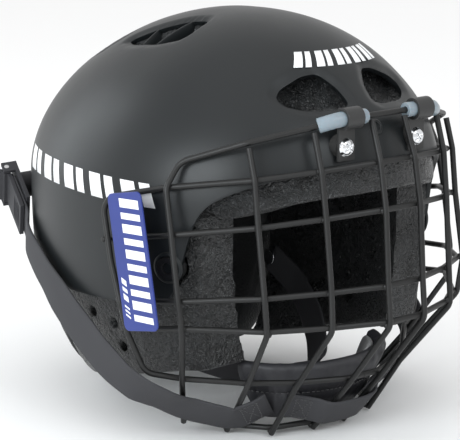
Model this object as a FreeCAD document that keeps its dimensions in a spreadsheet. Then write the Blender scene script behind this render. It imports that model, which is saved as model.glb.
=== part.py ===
"""Ice hockey helmet with a hinged wire face cage.

Millimetres. The wearer looks along -Y, +Z is up, and the wearer's right is -X. The origin is on the
surface that the helmet stands on, under the middle of its box: it rests on the chin rim of the cage
and on the nape pad.
"""

import FreeCAD
import Part

import math
import os

Vector = FreeCAD.Vector
doc = FreeCAD.newDocument("hockey_helmet")

# ---------------------------------------------------------------- driving dimensions

DIMENSIONS = {
    "shell_half_width": 111.5,
    "shell_centre_back": 3.3,
    "shell_front": 120.5,
    "shell_rear": 151.0,
    "widest_level": 138.0,
    "crown_height": 103.7,
    "lower_depth": 150.0,
    "plan_exponent": 2.11,
    "front_profile_exponent": 2.2,
    "rear_profile_exponent": 1.82,
    "lower_profile_exponent": 3.0,
    "brow_ridge_depth": 5.0,
    "shell_wall": 3.0,
    "liner_gap": 0.4,
    "liner_thickness": 22.0,
    "wire_radius": 1.7,
    "wire_offset": 1.6,
    "pivot_back": -126.2,
    "pivot_height": 193.2,
    "sleeve_radius": 4.2,
    "clip_inner_radius": 4.5,
    "clip_outer_radius": 6.2,
    "clip_band_width": 12.0,
    "clip_spacing": 27.0,
    "clip_screw_height": 176.5,
    "clip_plate_back": -122.2,
    "clip_plate_thickness": 1.8,
    "screw_head_radius": 5.5,
    "screw_head_height": 2.6,
    "screw_shank_radius": 2.4,
    "screw_hole_radius": 2.7,
    "side_screw_radius": 6.4,
    "side_screw_shank_radius": 4.0,
    "strap_thickness": 1.6,
    "side_strap_width": 24.0,
    "chin_strap_width": 20.0,
    "centre_strap_width": 21.0,
    "label_width": 31.0,
    "label_height": 78.0,
    "label_thickness": 1.2,
    "label_corner_radius": 4.0,
    "buckle_width": 30.0,
    "buckle_length": 36.0,
    "buckle_plate": 2.4,
    "lever_thickness": 2.6,
    "pin_radius": 1.5,
    "pin_hole_radius": 1.55,
}

sheet = doc.addObject("Spreadsheet::Sheet", "Dimensions")
for row, (alias, value) in enumerate(DIMENSIONS.items(), start=1):
    sheet.set(f"A{row}", alias)
    sheet.set(f"B{row}", str(value))
    sheet.setAlias(f"B{row}", alias)
doc.recompute()

SUBPARTS = []


def size(alias):
    """A driving dimension, read from the sheet."""
    return float(sheet.get(alias))


def bind(item, **expressions):
    """Binds properties of an object to cells of the sheet."""
    for name, expression in expressions.items():
        item.setExpression(name, expression)
    return item


def keep(item, label):
    """Marks an object as one of the helmet's own pieces and names it."""
    item.Label = label
    SUBPARTS.append(item)
    return item


def frame_at(position, forward, sideways):
    """A placement whose +Z is forward and whose +X is as near sideways as that allows."""
    z_axis = Vector(*forward).normalize()
    y_axis = z_axis.cross(Vector(*sideways)).normalize()
    x_axis = y_axis.cross(z_axis)
    matrix = FreeCAD.Matrix(
        x_axis.x, y_axis.x, z_axis.x, position[0],
        x_axis.y, y_axis.y, z_axis.y, position[1],
        x_axis.z, y_axis.z, z_axis.z, position[2],
        0, 0, 0, 1,
    )
    return FreeCAD.Placement(matrix)


def feature(name, shape):
    item = doc.addObject("Part::Feature", name)
    item.Shape = shape
    return item


def cut(name, base, *tools):
    for number, tool in enumerate(tools):
        result = doc.addObject("Part::Cut", f"{name}_cut{number}")
        result.Base = base
        result.Tool = tool
        base = result
    return base


def fuse(name, *pieces):
    result = doc.addObject("Part::MultiFuse", name)
    result.Shapes = list(pieces)
    result.Refine = True
    return result


def common(name, base, tool):
    result = doc.addObject("Part::Common", name)
    result.Base = base
    result.Tool = tool
    return result


def mirror(name, source):
    result = doc.addObject("Part::Mirroring", name)
    result.Source = source
    result.Normal = Vector(1, 0, 0)
    return result


def cylinder(name, placement, height, radius):
    """A cylinder along the placement's +Z; sizes are sheet expressions."""
    item = doc.addObject("Part::Cylinder", name)
    bind(item, Radius=radius, Height=height)
    item.Placement = placement
    return item


def prism(name, corners, direction, length):
    """A flat outline swept both ways along an axis, used as a trimming tool."""
    outline = feature(f"{name}_outline", Part.Face(Part.makePolygon([*corners, corners[0]])))
    item = doc.addObject("Part::Extrusion", name)
    item.Base = outline
    item.Dir = Vector(*direction)
    item.LengthFwd = length
    item.Symmetric = True
    item.Solid = True
    return item


def both_sides(name, right_piece):
    """Keeps a piece made for the wearer's right, and its mirror image for the left."""
    keep(right_piece, f"right_{name}")
    keep(mirror(f"left_{name}", right_piece), f"left_{name}")


# ---------------------------------------------------------------- the dome that shell and liner follow

CENTRE_Y = -size("shell_centre_back")
DOME_BOTTOM = -1.0


def profile_factor(angle, level):
    """How much of its widest plan the dome keeps at a level; angle 0 is the front."""
    rise = level - size("widest_level")
    if rise <= 0:
        depth = min(-rise / size("lower_depth"), 0.98)
        exponent = size("lower_profile_exponent")
        return (1 - depth**exponent) ** (1 / exponent)
    front, rear = size("front_profile_exponent"), size("rear_profile_exponent")
    return rear + (front - rear) * ((1 + math.cos(angle)) / 2) ** 3


def dome_point(angle, level, inset):
    """A point of the dome's wall, pulled in by inset."""
    side, ahead = math.sin(angle), math.cos(angle)
    half_width = size("shell_half_width") - inset
    length = (size("shell_front") if ahead > 0 else size("shell_rear")) - inset
    plan = size("plan_exponent")
    reach = (abs(side / half_width) ** plan + abs(ahead / length) ** plan) ** (-1 / plan)
    rise = level - size("widest_level")
    factor = profile_factor(angle, level)
    if rise > 0:
        height = min(rise / (size("crown_height") - inset), 0.9999)
        factor = (1 - height**factor) ** (1 / factor)
    ridge_angle = min(abs(angle) / math.radians(62), 1)
    ridge_rise = min(max((level - 186) / 24, 0), 1)
    ridge = size("brow_ridge_depth") * math.cos(ridge_angle * math.pi / 2) ** 2
    ridge *= 1 - ridge_rise**2 * (3 - 2 * ridge_rise)
    reach = reach * factor + ridge
    return Vector(reach * side, CENTRE_Y - reach * ahead, level)


def dome(name, inset):
    """A closed dome lofted through level rings from just under the floor to just under its crown."""
    top = size("widest_level") + size("crown_height") - inset
    levels = [DOME_BOTTOM + (size("widest_level") - DOME_BOTTOM) * step / 6 for step in range(7)]
    rise = top - size("widest_level")
    levels += [size("widest_level") + rise * math.sin(math.radians(8 + 10.2 * step)) for step in range(8)]
    levels.append(top - 0.35)
    rings = []
    for number, level in enumerate(levels):
        angles = [math.radians(10 * step) for step in range(36)]
        curve = Part.BSplineCurve()
        curve.interpolate([dome_point(a if a <= math.pi else a - 2 * math.pi, level, inset) for a in angles],
                          PeriodicFlag=True)
        rings.append(feature(f"{name}_ring{number}", Part.Wire([curve.toShape()])))
    item = doc.addObject("Part::Loft", name)
    item.Sections = rings
    item.Solid = True
    return item


def shell_normal(angle, level):
    """The dome's outward normal, from two nearby pairs of points."""
    step = 0.01
    around = dome_point(angle + step, level, 0) - dome_point(angle - step, level, 0)
    upward = dome_point(angle, level + 0.5, 0) - dome_point(angle, level - 0.5, 0)
    normal = around.cross(upward).normalize()
    outward = dome_point(angle, level, 0) - Vector(0, CENTRE_Y, level - 1)
    return normal if normal.dot(outward) > 0 else normal * -1


# ---------------------------------------------------------------- outer shell

# The shell's lower edge, seen from the side: brow, temple, ear and nape.
SHELL_EDGE = [
    (-200, 166.5), (-121, 166.5), (-110, 161), (-98, 156), (-89, 151.5), (-79, 145), (-72, 135),
    (-67.5, 120), (-64, 100), (-58, 87), (-40, 83.5), (0, 81), (40, 78.5), (100, 73), (200, 70),
]


def below_line(name, line, shift=0.0):
    """Everything under a line seen from the side, for trimming a lower edge."""
    corners = [Vector(0, y, z + shift) for y, z in line]
    corners += [Vector(0, line[-1][0], -60), Vector(0, line[0][0], -60)]
    return prism(name, corners, (1, 0, 0), 400)


def vent_cutter(name, outline, axis, level):
    """A window through the shell; the outline is seen along the axis."""
    if axis == "y":
        corners = [Vector(x, level, z) for x, z in outline]
        return prism(name, corners, (0, 1, 0), 60)
    corners = [Vector(x, y, level) for x, y in outline]
    return prism(name, corners, (0, 0, 1), 60)


FRONT_VENT = [(-9, 198.5), (-10.5, 206), (-17.5, 214), (-28, 213), (-43, 207), (-48, 202.5), (-45.5, 198),
              (-36, 195.5), (-14, 196)]
CROWN_VENT = [(-29, -8), (-51, -10), (-57, 8), (-56, 32), (-50, 44), (-41, 26), (-31, 6)]
REAR_VENT = [(-26, 56), (-44, 57), (-51, 66), (-51, 78), (-41, 84), (-29, 68)]

vents = []
for vent_name, vent_outline, vent_axis, vent_level in (
    ("front_vent", FRONT_VENT, "y", -92), ("crown_vent", CROWN_VENT, "z", 230), ("rear_vent", REAR_VENT, "z", 220),
):
    vent = vent_cutter(vent_name, vent_outline, vent_axis, vent_level)
    vents += [vent, mirror(f"{vent_name}_left", vent)]

SIDE_SCREW_ANGLE = -math.radians(61.5)
SIDE_SCREW_LEVEL = 107.5
side_screw_point = dome_point(SIDE_SCREW_ANGLE, SIDE_SCREW_LEVEL, 0)
side_screw_normal = shell_normal(SIDE_SCREW_ANGLE, SIDE_SCREW_LEVEL)

clip_screw_frame = frame_at((-size("clip_spacing"), size("clip_plate_back"), size("clip_screw_height")),
                            (0, 1, 0), (1, 0, 0))
clip_screw_hole = cylinder("clip_screw_hole", clip_screw_frame, "30", "Dimensions.screw_hole_radius")
side_hole_frame = frame_at(side_screw_point + side_screw_normal * 5, side_screw_normal * -1, (0, 0, 1))
side_screw_hole = cylinder("side_screw_hole", side_hole_frame, "30", "Dimensions.side_screw_shank_radius + 0.3")

# The rear buckle stands on the shell, square to the pull of the side strap.
BUCKLE_POINT = Vector(-86.0, 111.5, 116.0)
BUCKLE_OUT = Vector(-0.93, 0.35, -0.1).normalize()
BUCKLE_DOWN = Vector(-0.29, -0.80, -0.52)
BUCKLE_DOWN = (BUCKLE_DOWN - BUCKLE_OUT * BUCKLE_DOWN.dot(BUCKLE_OUT)).normalize()
BUCKLE_ACROSS = BUCKLE_OUT.cross(BUCKLE_DOWN)


def buckle_spot(down, across, out):
    """A point given in the buckle's own directions, from the middle of the strap's end."""
    return BUCKLE_POINT + BUCKLE_DOWN * down + BUCKLE_ACROSS * across + BUCKLE_OUT * out


anchor_frame = frame_at(buckle_spot(-14, 0, -2), BUCKLE_OUT * -1, (0, 0, 1))
anchor_hole = cylinder("anchor_hole", anchor_frame, "40", "Dimensions.screw_hole_radius")

holes = [clip_screw_hole, side_screw_hole, anchor_hole]
holes += [mirror(f"{hole.Name}_left", hole) for hole in holes]

wall_outside = dome("shell_outside", 0.0)
wall_inside = dome("shell_inside", size("shell_wall"))
outer_shell = cut("outer_shell", wall_outside, wall_inside, below_line("shell_trim", SHELL_EDGE), *vents, *holes)
keep(outer_shell, "outer_shell")

# ---------------------------------------------------------------- foam liner

LINER_OUT = size("shell_wall") + size("liner_gap")
LINER_IN = LINER_OUT + size("liner_thickness")
liner_ring = cut("liner_ring", dome("liner_outside", LINER_OUT), dome("liner_inside", LINER_IN))

# Outlines of the pads, seen from the side (y, z).
PAD_OUTLINES = {
    "brow_pad": [(-135, 150), (-112, 146), (-96, 141), (-86, 136), (-74, 140), (-64, 152), (-46, 192),
                 (-60, 250), (-135, 250)],
    "side_pad": [(-72, 48), (-66, 45), (-50, 42.5), (55, 15), (59, 84), (59, 165), (-32, 183), (-41, 189), (-60, 150),
                 (-69, 139), (-72, 137)],
    "crown_pad": [(-55, 250), (-42, 196), (-30, 187), (62, 168.5), (85, 250)],
    "nape_pad": [(63, 12), (75, 8), (79, 0), (180, 0), (180, 250), (89, 250), (66, 168), (62.5, 150)],
}

side_nut_pocket = cylinder("side_nut_pocket", side_hole_frame, "14", "10")
anchor_nut_pocket = cylinder("anchor_nut_pocket", anchor_frame, "29", "9")


def pad_region(name, outline, low=None, high=None):
    """The part of the liner inside a side outline, with optional limits across."""
    region = prism(f"{name}_region", [Vector(0, y, z) for y, z in outline], (1, 0, 0), 400)
    if low is None:
        return region
    limit = doc.addObject("Part::Box", f"{name}_limit")
    limit.Length, limit.Width, limit.Height = high - low, 500, 400
    limit.Placement = FreeCAD.Placement(Vector(low, -250, -50), FreeCAD.Rotation())
    return common(f"{name}_limited", region, limit)


# The clip nuts press into the brow foam, so it has no pockets of its own.
keep(common("brow_pad", liner_ring, pad_region("brow_pad", PAD_OUTLINES["brow_pad"])), "brow_pad")

right_side_pad = common("side_pad_body", liner_ring, pad_region("side_pad", PAD_OUTLINES["side_pad"], -150, 0))
pad_holes = []
for number, (hole_y, hole_z) in enumerate(((10, 69), (-10, 66), (-14, 52))):
    hole_place = frame_at((-130, hole_y, hole_z), (1, 0, 0), (0, 0, 1))
    pad_holes.append(cylinder(f"pad_hole{number}", hole_place, "60", "2.6"))
both_sides("side_pad", cut("side_pad", right_side_pad, side_nut_pocket, *pad_holes))

anchored_ring = cut("anchored_ring", liner_ring, anchor_nut_pocket,
                    mirror("anchor_nut_pocket_left", anchor_nut_pocket))
keep(common("nape_pad", anchored_ring, pad_region("nape_pad", PAD_OUTLINES["nape_pad"])), "nape_pad")
keep(common("crown_pad", liner_ring, pad_region("crown_pad", PAD_OUTLINES["crown_pad"])), "crown_pad")

# ---------------------------------------------------------------- cage wires


def bent_path(points, largest_radius):
    """Straight runs joined by arcs that touch them, as one wire."""
    points = [Vector(*point) for point in points]
    edges = []
    start = points[0]
    for before, corner, after in zip(points, points[1:], points[2:]):
        into, out = (corner - before), (after - corner)
        turn = into.getAngle(out)
        if turn < 0.02:
            continue
        room = 0.45 * min(into.Length, out.Length)
        radius = min(largest_radius, room / math.tan(turn / 2))
        reach = radius * math.tan(turn / 2)
        arc_start = corner - into.normalize() * reach
        arc_end = corner + out.normalize() * reach
        centre_line = (arc_start + arc_end) * 0.5 - corner
        to_centre = radius / math.cos(turn / 2)
        middle = corner + centre_line.normalize() * (to_centre - radius)
        edges.append(Part.LineSegment(start, arc_start).toShape())
        edges.append(Part.Arc(arc_start, middle, arc_end).toShape())
        start = arc_end
    edges.append(Part.LineSegment(start, points[-1]).toShape())
    return Part.Wire(edges)


def rod(label, points, bend, radius="Dimensions.wire_radius"):
    """A round bar swept along a bent path."""
    path = feature(f"{label}_path", bent_path(points, bend))
    ring = bind(doc.addObject("Part::Circle", f"{label}_ring"), Radius=radius)
    start, following = Vector(*points[0]), Vector(*points[1])
    ring.Placement = frame_at(start, following - start, (0.3, 0.5, 0.8))
    item = doc.addObject("Part::Sweep", label)
    item.Sections = [ring]
    item.Spine = (path, [f"Edge{number + 1}" for number in range(len(path.Shape.Edges))])
    item.Solid = True
    item.Frenet = False
    return item


# Where the upright bars (columns, from the outermost to the middle) meet the cross wires (rows).
NODES = {
    "top": [(-104.5, -61.5, 157.5), (-76.7, -97.2, 181), (-47.3, -117.4, 188.8), (-12.5, -126.2, 193.2)],
    "brow": [(-105, -62.8, 154.7), (-75.9, -103.6, 161), (-46.8, -124.6, 165.4), (-13, -135.2, 168)],
    "eye": [(-106, -68.4, 128.8), (-76, -106.7, 135), (-46.2, -128.2, 139.4), (-13.2, -140.2, 142)],
    "nose": [(-106.5, -74.7, 92), (-77, -113.2, 96.4), (-45.5, -132.2, 98.4), (-13.2, -143.2, 99)],
    "mouth": [(-105, -75.9, 75.6), (-74.2, -112.2, 76), (-45.9, -133.9, 78), (-13.2, -145.6, 78)],
    "jaw": [(-90, -56.9, 39.2), (-63, -81.9, 37), (-40.7, -98.8, 37), (-12, -112.2, 37)],
    "rim": [(-73.5, -37.5, 8), (-53.6, -53.8, 3.4), (-38.4, -75.6, 3.6), (-12, -82.2, 3.4)],
}
ROWS = list(NODES)
LAYER = size("wire_offset")


def node_normal(row, column):
    """The outward direction of the cage where a bar crosses a wire."""
    here = Vector(*NODES[row][column])
    index = ROWS.index(row)
    above = Vector(*NODES[ROWS[max(index - 1, 1)]][column])
    below = Vector(*NODES[ROWS[min(index + 1, len(ROWS) - 1)]][column])
    outer = Vector(*NODES[row][max(column - 1, 0)])
    inner = Vector(*NODES[row][column + 1]) if column < 3 else Vector(-here.x, here.y, here.z)
    normal = (inner - outer).cross(below - above)
    if normal.Length < 1e-6:
        normal = Vector(0, -1, 0)
    normal.normalize()
    return normal if normal.dot(here - Vector(0, -20, 90)) > 0 else normal * -1


def layered(row, column, side):
    """A node moved outwards (side 1, upright bars) or inwards (side -1, cross wires)."""
    return Vector(*NODES[row][column]) + node_normal(row, column) * (LAYER * side)


def mirrored(points):
    """The same points on the wearer's left, in reverse, so that two halves join."""
    return [Vector(-point.x, point.y, point.z) for point in reversed(points)]


def symmetric(points):
    return points + mirrored(points)


# Rear corners and welded ends on the side frame wire, which runs behind the ears.
REAR_TOP = Vector(-115.5, -17, 143)
SIDE_FRAME = [Vector(-117, -26.7, 108), Vector(-117, -35, 86), Vector(-115, -39, 68)]
REAR_BOTTOM = Vector(-108, -45.5, 45)

# The top bar is straight in the two clips, bends back at the temples and turns down as the first bars.
PIVOT = Vector(0, size("pivot_back"), size("pivot_height"))
top_half = [Vector(-36, PIVOT.y, PIVOT.z), Vector(*NODES["top"][2]), Vector(*NODES["top"][1]),
            Vector(-97.5, -65, 168.5)]
first_bar = [layered(row, 0, 1) for row in ("brow", "eye", "nose", "mouth", "jaw")]
first_bar.append(Vector(*NODES["rim"][0]) + node_normal("rim", 0) * LAYER)
right_half = list(reversed(first_bar)) + list(reversed(top_half))
keep(rod("top_frame_wire", symmetric(right_half), 11.0), "top_frame_wire")

brow_half = [REAR_TOP] + [layered("brow", column, -1) for column in range(4)]
jaw_half = [layered("jaw", column, -1) for column in range(3, -1, -1)]
jaw_start = Vector(-0.1, jaw_half[0].y, jaw_half[0].z)
side_loop = [jaw_start, *jaw_half, REAR_BOTTOM, *reversed(SIDE_FRAME)]
keep(rod("side_frame_wire", symmetric(side_loop + brow_half), 10.0), "side_frame_wire")

CROSS_ENDS = {"eye": Vector(-114.1, -17.5, 118.8), "nose": Vector(-114.3, -31, 86.5),
              "mouth": Vector(-112.6, -34, 69.5)}
for row, rear_end in CROSS_ENDS.items():
    half = [rear_end] + [layered(row, column, -1) for column in range(4)]
    keep(rod(f"{row}_wire", symmetric(half), 14.0), f"{row}_wire")

rim_half = [Vector(*NODES["rim"][column]) - node_normal("rim", column) * LAYER for column in range(4)]
keep(rod("chin_rim_wire", symmetric(rim_half), 12.0), "chin_rim_wire")

for column, name in ((1, "outer_bar"), (2, "middle_bar"), (3, "inner_bar")):
    route = [Vector(*NODES["top"][column]) + Vector(0, -2.2, -2.4)]
    route += [layered(row, column, 1) for row in ("brow", "eye", "nose", "mouth", "jaw")]
    rim_end = layered("rim", column, 1)
    beyond = (rim_end - route[-1]).normalize() * 1.5
    route.append(rim_end + beyond)
    both_sides(name, rod(f"right_{name}", route, 9.0))

# ---------------------------------------------------------------- pivot sleeves, clips and their screws

sleeve_run = [Vector(-15.5, PIVOT.y, PIVOT.z), Vector(-36, PIVOT.y, PIVOT.z), Vector(-44.6, -119.5, 189.9)]
sleeve_outside = rod("sleeve_outside", sleeve_run, 11.0, "Dimensions.sleeve_radius")
sleeve_bore = rod("sleeve_bore", [Vector(-10, PIVOT.y, PIVOT.z), sleeve_run[1], Vector(*NODES["top"][2])], 11.0,
                  "Dimensions.wire_radius + 0.02")
both_sides("clip_sleeve", cut("clip_sleeve", sleeve_outside, sleeve_bore))

clip_x = -size("clip_spacing")
half_band = size("clip_band_width") / 2
band_frame = frame_at((clip_x - half_band, PIVOT.y, PIVOT.z), (1, 0, 0), (0, 0, 1))
clip_band = cylinder("clip_band", band_frame, "Dimensions.clip_band_width", "Dimensions.clip_outer_radius")
clip_bore = cylinder("clip_bore", band_frame, "Dimensions.clip_band_width", "Dimensions.clip_inner_radius")
clip_plate = bind(doc.addObject("Part::Box", "clip_plate"), Length="Dimensions.clip_band_width",
                  Width="Dimensions.clip_plate_thickness", Height="24")
clip_plate.Placement = FreeCAD.Placement(
    Vector(clip_x - half_band, size("clip_plate_back") - size("clip_plate_thickness"), 169), FreeCAD.Rotation())
clip_blank = fuse("clip_blank", clip_band, clip_plate)
clip_hole = cylinder("clip_hole", frame_at((clip_x, -130, size("clip_screw_height")), (0, 1, 0), (1, 0, 0)),
                     "14", "Dimensions.screw_shank_radius + 0.05")
both_sides("j_clip", cut("j_clip", clip_blank, clip_bore, clip_hole))

spacer = cylinder("spacer_blank", clip_screw_frame, "6", "6.5")
spacer_hole = cylinder("spacer_hole", clip_screw_frame, "12", "Dimensions.screw_hole_radius")
both_sides("clip_spacer", cut("clip_spacer", spacer, spacer_hole, wall_outside))


def head_screw(label, frame, shank_length, head_radius, head_height, shank_radius, recess):
    """A round-head screw: the frame's +Z points into the work, from under the head."""
    body = doc.addObject("PartDesign::Body", f"{label}_body")
    planes = {plane.Role: plane for plane in body.Origin.OriginFeatures}

    def circle_sketch(name, radius):
        sketch = body.newObject("Sketcher::SketchObject", name)
        sketch.AttachmentSupport = [(planes["XY_Plane"], "")]
        sketch.MapMode = "FlatFace"
        sketch.addGeometry(Part.Circle(Vector(0, 0, 0), Vector(0, 0, 1), size(radius)))
        return sketch

    head = body.newObject("PartDesign::Pad", f"{label}_head")
    head.Profile = circle_sketch(f"{label}_head_outline", head_radius)
    head.Reversed = True
    bind(head, Length=f"Dimensions.{head_height}")
    shank = body.newObject("PartDesign::Pad", f"{label}_shank")
    shank.Profile = circle_sketch(f"{label}_shank_outline", shank_radius)
    shank.Length = shank_length
    doc.recompute()
    before = shank.Shape.Volume
    slots = body.newObject("Sketcher::SketchObject", f"{label}_recess_outline")
    slots.AttachmentSupport = [(planes["XY_Plane"], "")]
    slots.MapMode = "FlatFace"
    slots.AttachmentOffset = FreeCAD.Placement(Vector(0, 0, -size(head_height)), FreeCAD.Rotation())
    arm, half = recess
    outline = [(half, half), (arm, half), (arm, -half), (half, -half), (half, -arm), (-half, -arm), (-half, -half),
               (-arm, -half), (-arm, half), (-half, half), (-half, arm), (half, arm)]
    for first, second in zip(outline, outline[1:] + outline[:1]):
        slots.addGeometry(Part.LineSegment(Vector(*first, 0), Vector(*second, 0)))
    recess_cut = body.newObject("PartDesign::Pocket", f"{label}_recess")
    recess_cut.Profile = slots
    recess_cut.Length = size(head_height) * 0.7
    recess_cut.Reversed = True
    doc.recompute()
    if recess_cut.Shape.Volume >= before - 0.1:
        raise RuntimeError(f"{label}: the driver recess cut nothing")
    body.Placement = frame
    return body


screw_seat = size("clip_plate_back") - size("clip_plate_thickness")
screw_frame = frame_at((clip_x, screw_seat, size("clip_screw_height")), (0, 1, 0), (1, 0, 0))
both_sides("clip_screw", head_screw("clip_screw", screw_frame, 16.0, "screw_head_radius", "screw_head_height",
                                    "screw_shank_radius", (3.0, 0.55)))


# Nuts sit clear of the wall: their blanks are trimmed by the inner dome pushed in a little.
wall_core = dome("wall_core", size("shell_wall") + 0.15)


def nut_inside_wall(label, frame, height, radius, bore_radius):
    """A nut blank kept to the inside of the wall, with its bore."""
    blank = cylinder(f"{label}_blank", frame, height, radius)
    seated = common(f"{label}_seated", blank, wall_core)
    bore = cylinder(f"{label}_bore", frame, "60", bore_radius)
    return cut(label, seated, bore)


both_sides("clip_nut", nut_inside_wall("clip_nut", clip_screw_frame, "14", "7.5",
                                       "Dimensions.screw_shank_radius + 0.02"))

# ---------------------------------------------------------------- slotted side screws

side_seat = side_screw_point + side_screw_normal * 0.25
side_flange = cylinder("side_flange", frame_at(side_seat, side_screw_normal, (0, 0, 1)), "1.4",
                       "Dimensions.side_screw_radius")
side_shank = cylinder("side_shank", frame_at(side_seat + side_screw_normal * 1.4, side_screw_normal * -1,
                                             (0, 0, 1)), "9", "Dimensions.side_screw_shank_radius")
side_blank = fuse("side_screw_blank", side_flange, side_shank)
side_recess = cylinder("side_recess", frame_at(side_seat + side_screw_normal * 2, side_screw_normal * -1,
                                               (0, 0, 1)), "4", "3.3")
side_slot = doc.addObject("Part::Box", "side_slot")
side_slot.Length, side_slot.Width, side_slot.Height = 5.6, 1.2, 6
slot_frame = frame_at(side_seat + side_screw_normal * 2, side_screw_normal * -1, (0, 0.4, 1))
side_slot.Placement = slot_frame.multiply(FreeCAD.Placement(Vector(-2.8, -0.6, 0), FreeCAD.Rotation()))
both_sides("side_screw", cut("side_screw", side_blank, side_recess, side_slot))
both_sides("side_nut", nut_inside_wall("side_nut", side_hole_frame, "11.5", "8.5",
                                       "Dimensions.side_screw_shank_radius + 0.02"))

# ---------------------------------------------------------------- rear buckles


def buckle_box(name, down, across, out):
    """A box given by its low and high limits in the buckle's own directions."""
    item = doc.addObject("Part::Box", name)
    item.Length, item.Width, item.Height = down[1] - down[0], across[1] - across[0], out[1] - out[0]
    corner = buckle_spot(down[0], across[0], out[0])
    matrix = FreeCAD.Matrix(
        BUCKLE_DOWN.x, BUCKLE_ACROSS.x, BUCKLE_OUT.x, corner.x,
        BUCKLE_DOWN.y, BUCKLE_ACROSS.y, BUCKLE_OUT.y, corner.y,
        BUCKLE_DOWN.z, BUCKLE_ACROSS.z, BUCKLE_OUT.z, corner.z,
        0, 0, 0, 1,
    )
    item.Placement = FreeCAD.Placement(matrix)
    return item


half_strap = size("strap_thickness") / 2
half_buckle = size("buckle_width") / 2
plate = size("buckle_plate")
plate_top = -half_strap - 0.35
pin_down, pin_out = -17.0, 3.6
base_plate = buckle_box("base_plate", (-21, size("buckle_length") - 23), (-half_buckle, half_buckle),
                        (plate_top - plate, plate_top))
ears = [buckle_box(f"buckle_ear{side}", (-21, -13), sorted((side * half_buckle, side * (half_buckle - 2.2))),
                   (plate_top - 0.5, pin_out + 2.6)) for side in (-1, 1)]
boss_frame = frame_at(buckle_spot(-14, 0, plate_top - plate + 0.3), BUCKLE_OUT * -1, (0, 0, 1))
boss_blank = cylinder("boss_blank", boss_frame, "30", "8")
wall_clear = dome("wall_clear", -0.15)
boss = cut("buckle_boss", boss_blank, wall_clear)
base_blank = fuse("buckle_base_blank", base_plate, *ears, boss)
pin_frame = frame_at(buckle_spot(pin_down, -half_buckle, pin_out), BUCKLE_ACROSS, BUCKLE_OUT)
pin_hole = cylinder("pin_hole", pin_frame, "Dimensions.buckle_width", "Dimensions.pin_hole_radius")
anchor_bore = cylinder("anchor_bore", anchor_frame, "40", "Dimensions.screw_shank_radius + 0.02")
head_room = buckle_box("head_room", (-14 - 5.8, -14 + 5.8), (-5.8, 5.8), (plate_top - 1.6, plate_top + 4))
both_sides("buckle_base", cut("buckle_base", base_blank, pin_hole, anchor_bore, head_room))

lever_half = half_buckle - 2.6
lever_low = half_strap + 0.35
lever_body = buckle_box("lever_body", (-13.5, 17), (-lever_half, lever_half),
                        (lever_low, lever_low + size("lever_thickness")))
lever_knuckle = cylinder("lever_knuckle", frame_at(buckle_spot(pin_down, -lever_half, pin_out), BUCKLE_ACROSS,
                                                   BUCKLE_OUT), str(2 * lever_half), "2.6")
lever_web = buckle_box("lever_web", (pin_down, -13), (-lever_half, lever_half), (pin_out - 1.6, pin_out + 2.4))
wing_frame = frame_at(buckle_spot(-14, -lever_half, lever_low + 2.2), BUCKLE_OUT + BUCKLE_DOWN * -0.55,
                      BUCKLE_ACROSS)
lever_wing = doc.addObject("Part::Box", "lever_wing")
lever_wing.Length, lever_wing.Width, lever_wing.Height = 2 * lever_half, 2.4, 15
lever_wing.Placement = wing_frame
lever_blank = fuse("lever_blank", lever_body, lever_knuckle, lever_web, lever_wing)
both_sides("buckle_lever", cut("buckle_lever", lever_blank, pin_hole))

pin = cylinder("hinge_pin", pin_frame, "Dimensions.buckle_width", "Dimensions.pin_radius")
both_sides("buckle_pin", pin)

anchor_seat = frame_at(buckle_spot(-14, 0, plate_top - 1.6), BUCKLE_OUT * -1, (0, 0, 1))
both_sides("buckle_screw", head_screw("buckle_screw", anchor_seat, 24.0, "screw_head_radius", "pin_radius",
                                      "screw_shank_radius", (3.0, 0.55)))
both_sides("buckle_nut", nut_inside_wall("buckle_nut", anchor_frame, "27", "7.5",
                                         "Dimensions.screw_shank_radius + 0.02"))

# ---------------------------------------------------------------- flat webbing straps


def strap(label, stations, width_alias):
    """Flat webbing lofted through crosswise rectangles; a station is (point, outward direction)."""
    width, thickness = size(width_alias), size("strap_thickness")
    points = [Vector(*point) for point, _ in stations]
    rings = []
    for number, (_, outward) in enumerate(stations):
        ahead = points[min(number + 1, len(points) - 1)] - points[max(number - 1, 0)]
        ahead.normalize()
        face = Vector(*outward)
        face = (face - ahead * face.dot(ahead)).normalize()
        across = ahead.cross(face)
        corners = [points[number] + across * (width / 2 * i) + face * (thickness / 2 * j)
                   for i, j in ((-1, -1), (1, -1), (1, 1), (-1, 1))]
        rings.append(feature(f"{label}_section{number}", Part.makePolygon([*corners, corners[0]])))
    item = doc.addObject("Part::Loft", label)
    item.Sections = rings
    item.Solid = True
    item.Ruled = True
    return item


SIDE_STRAP = [
    (tuple(buckle_spot(-11, 0, 0)), tuple(BUCKLE_OUT)),
    (tuple(buckle_spot(18.5, 0, 0)), tuple(BUCKLE_OUT)),
    ((-98.5, 83.5, 98), (-0.95, 0.3, -0.1)),
    ((-108, 53.3, 85), (-0.98, 0.15, -0.1)),
    ((-113.5, 27.6, 73), (-1, 0.05, 0)),
    ((-115.5, 8, 62.5), (-1, 0, 0)),
    ((-116, -17.6, 48.6), (-1, 0, -0.05)),
    ((-112.5, -37.5, 37.5), (-0.93, -0.15, -0.3)),
    ((-101, -47.5, 29.5), (-0.75, -0.35, -0.55)),
    ((-83, -51.5, 20.5), (-0.62, -0.47, -0.62)),
    ((-68, -60.5, 15), (-0.55, -0.5, -0.66)),
    ((-58.8, -66, 12.5), (-0.5, -0.5, -0.7)),
    ((-49, -73, 17), (-0.35, -0.6, -0.74)),
    ((-42, -77, 21), (-0.35, -0.65, -0.7)),
]
both_sides("side_strap", strap("side_strap", SIDE_STRAP, "side_strap_width"))

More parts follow.
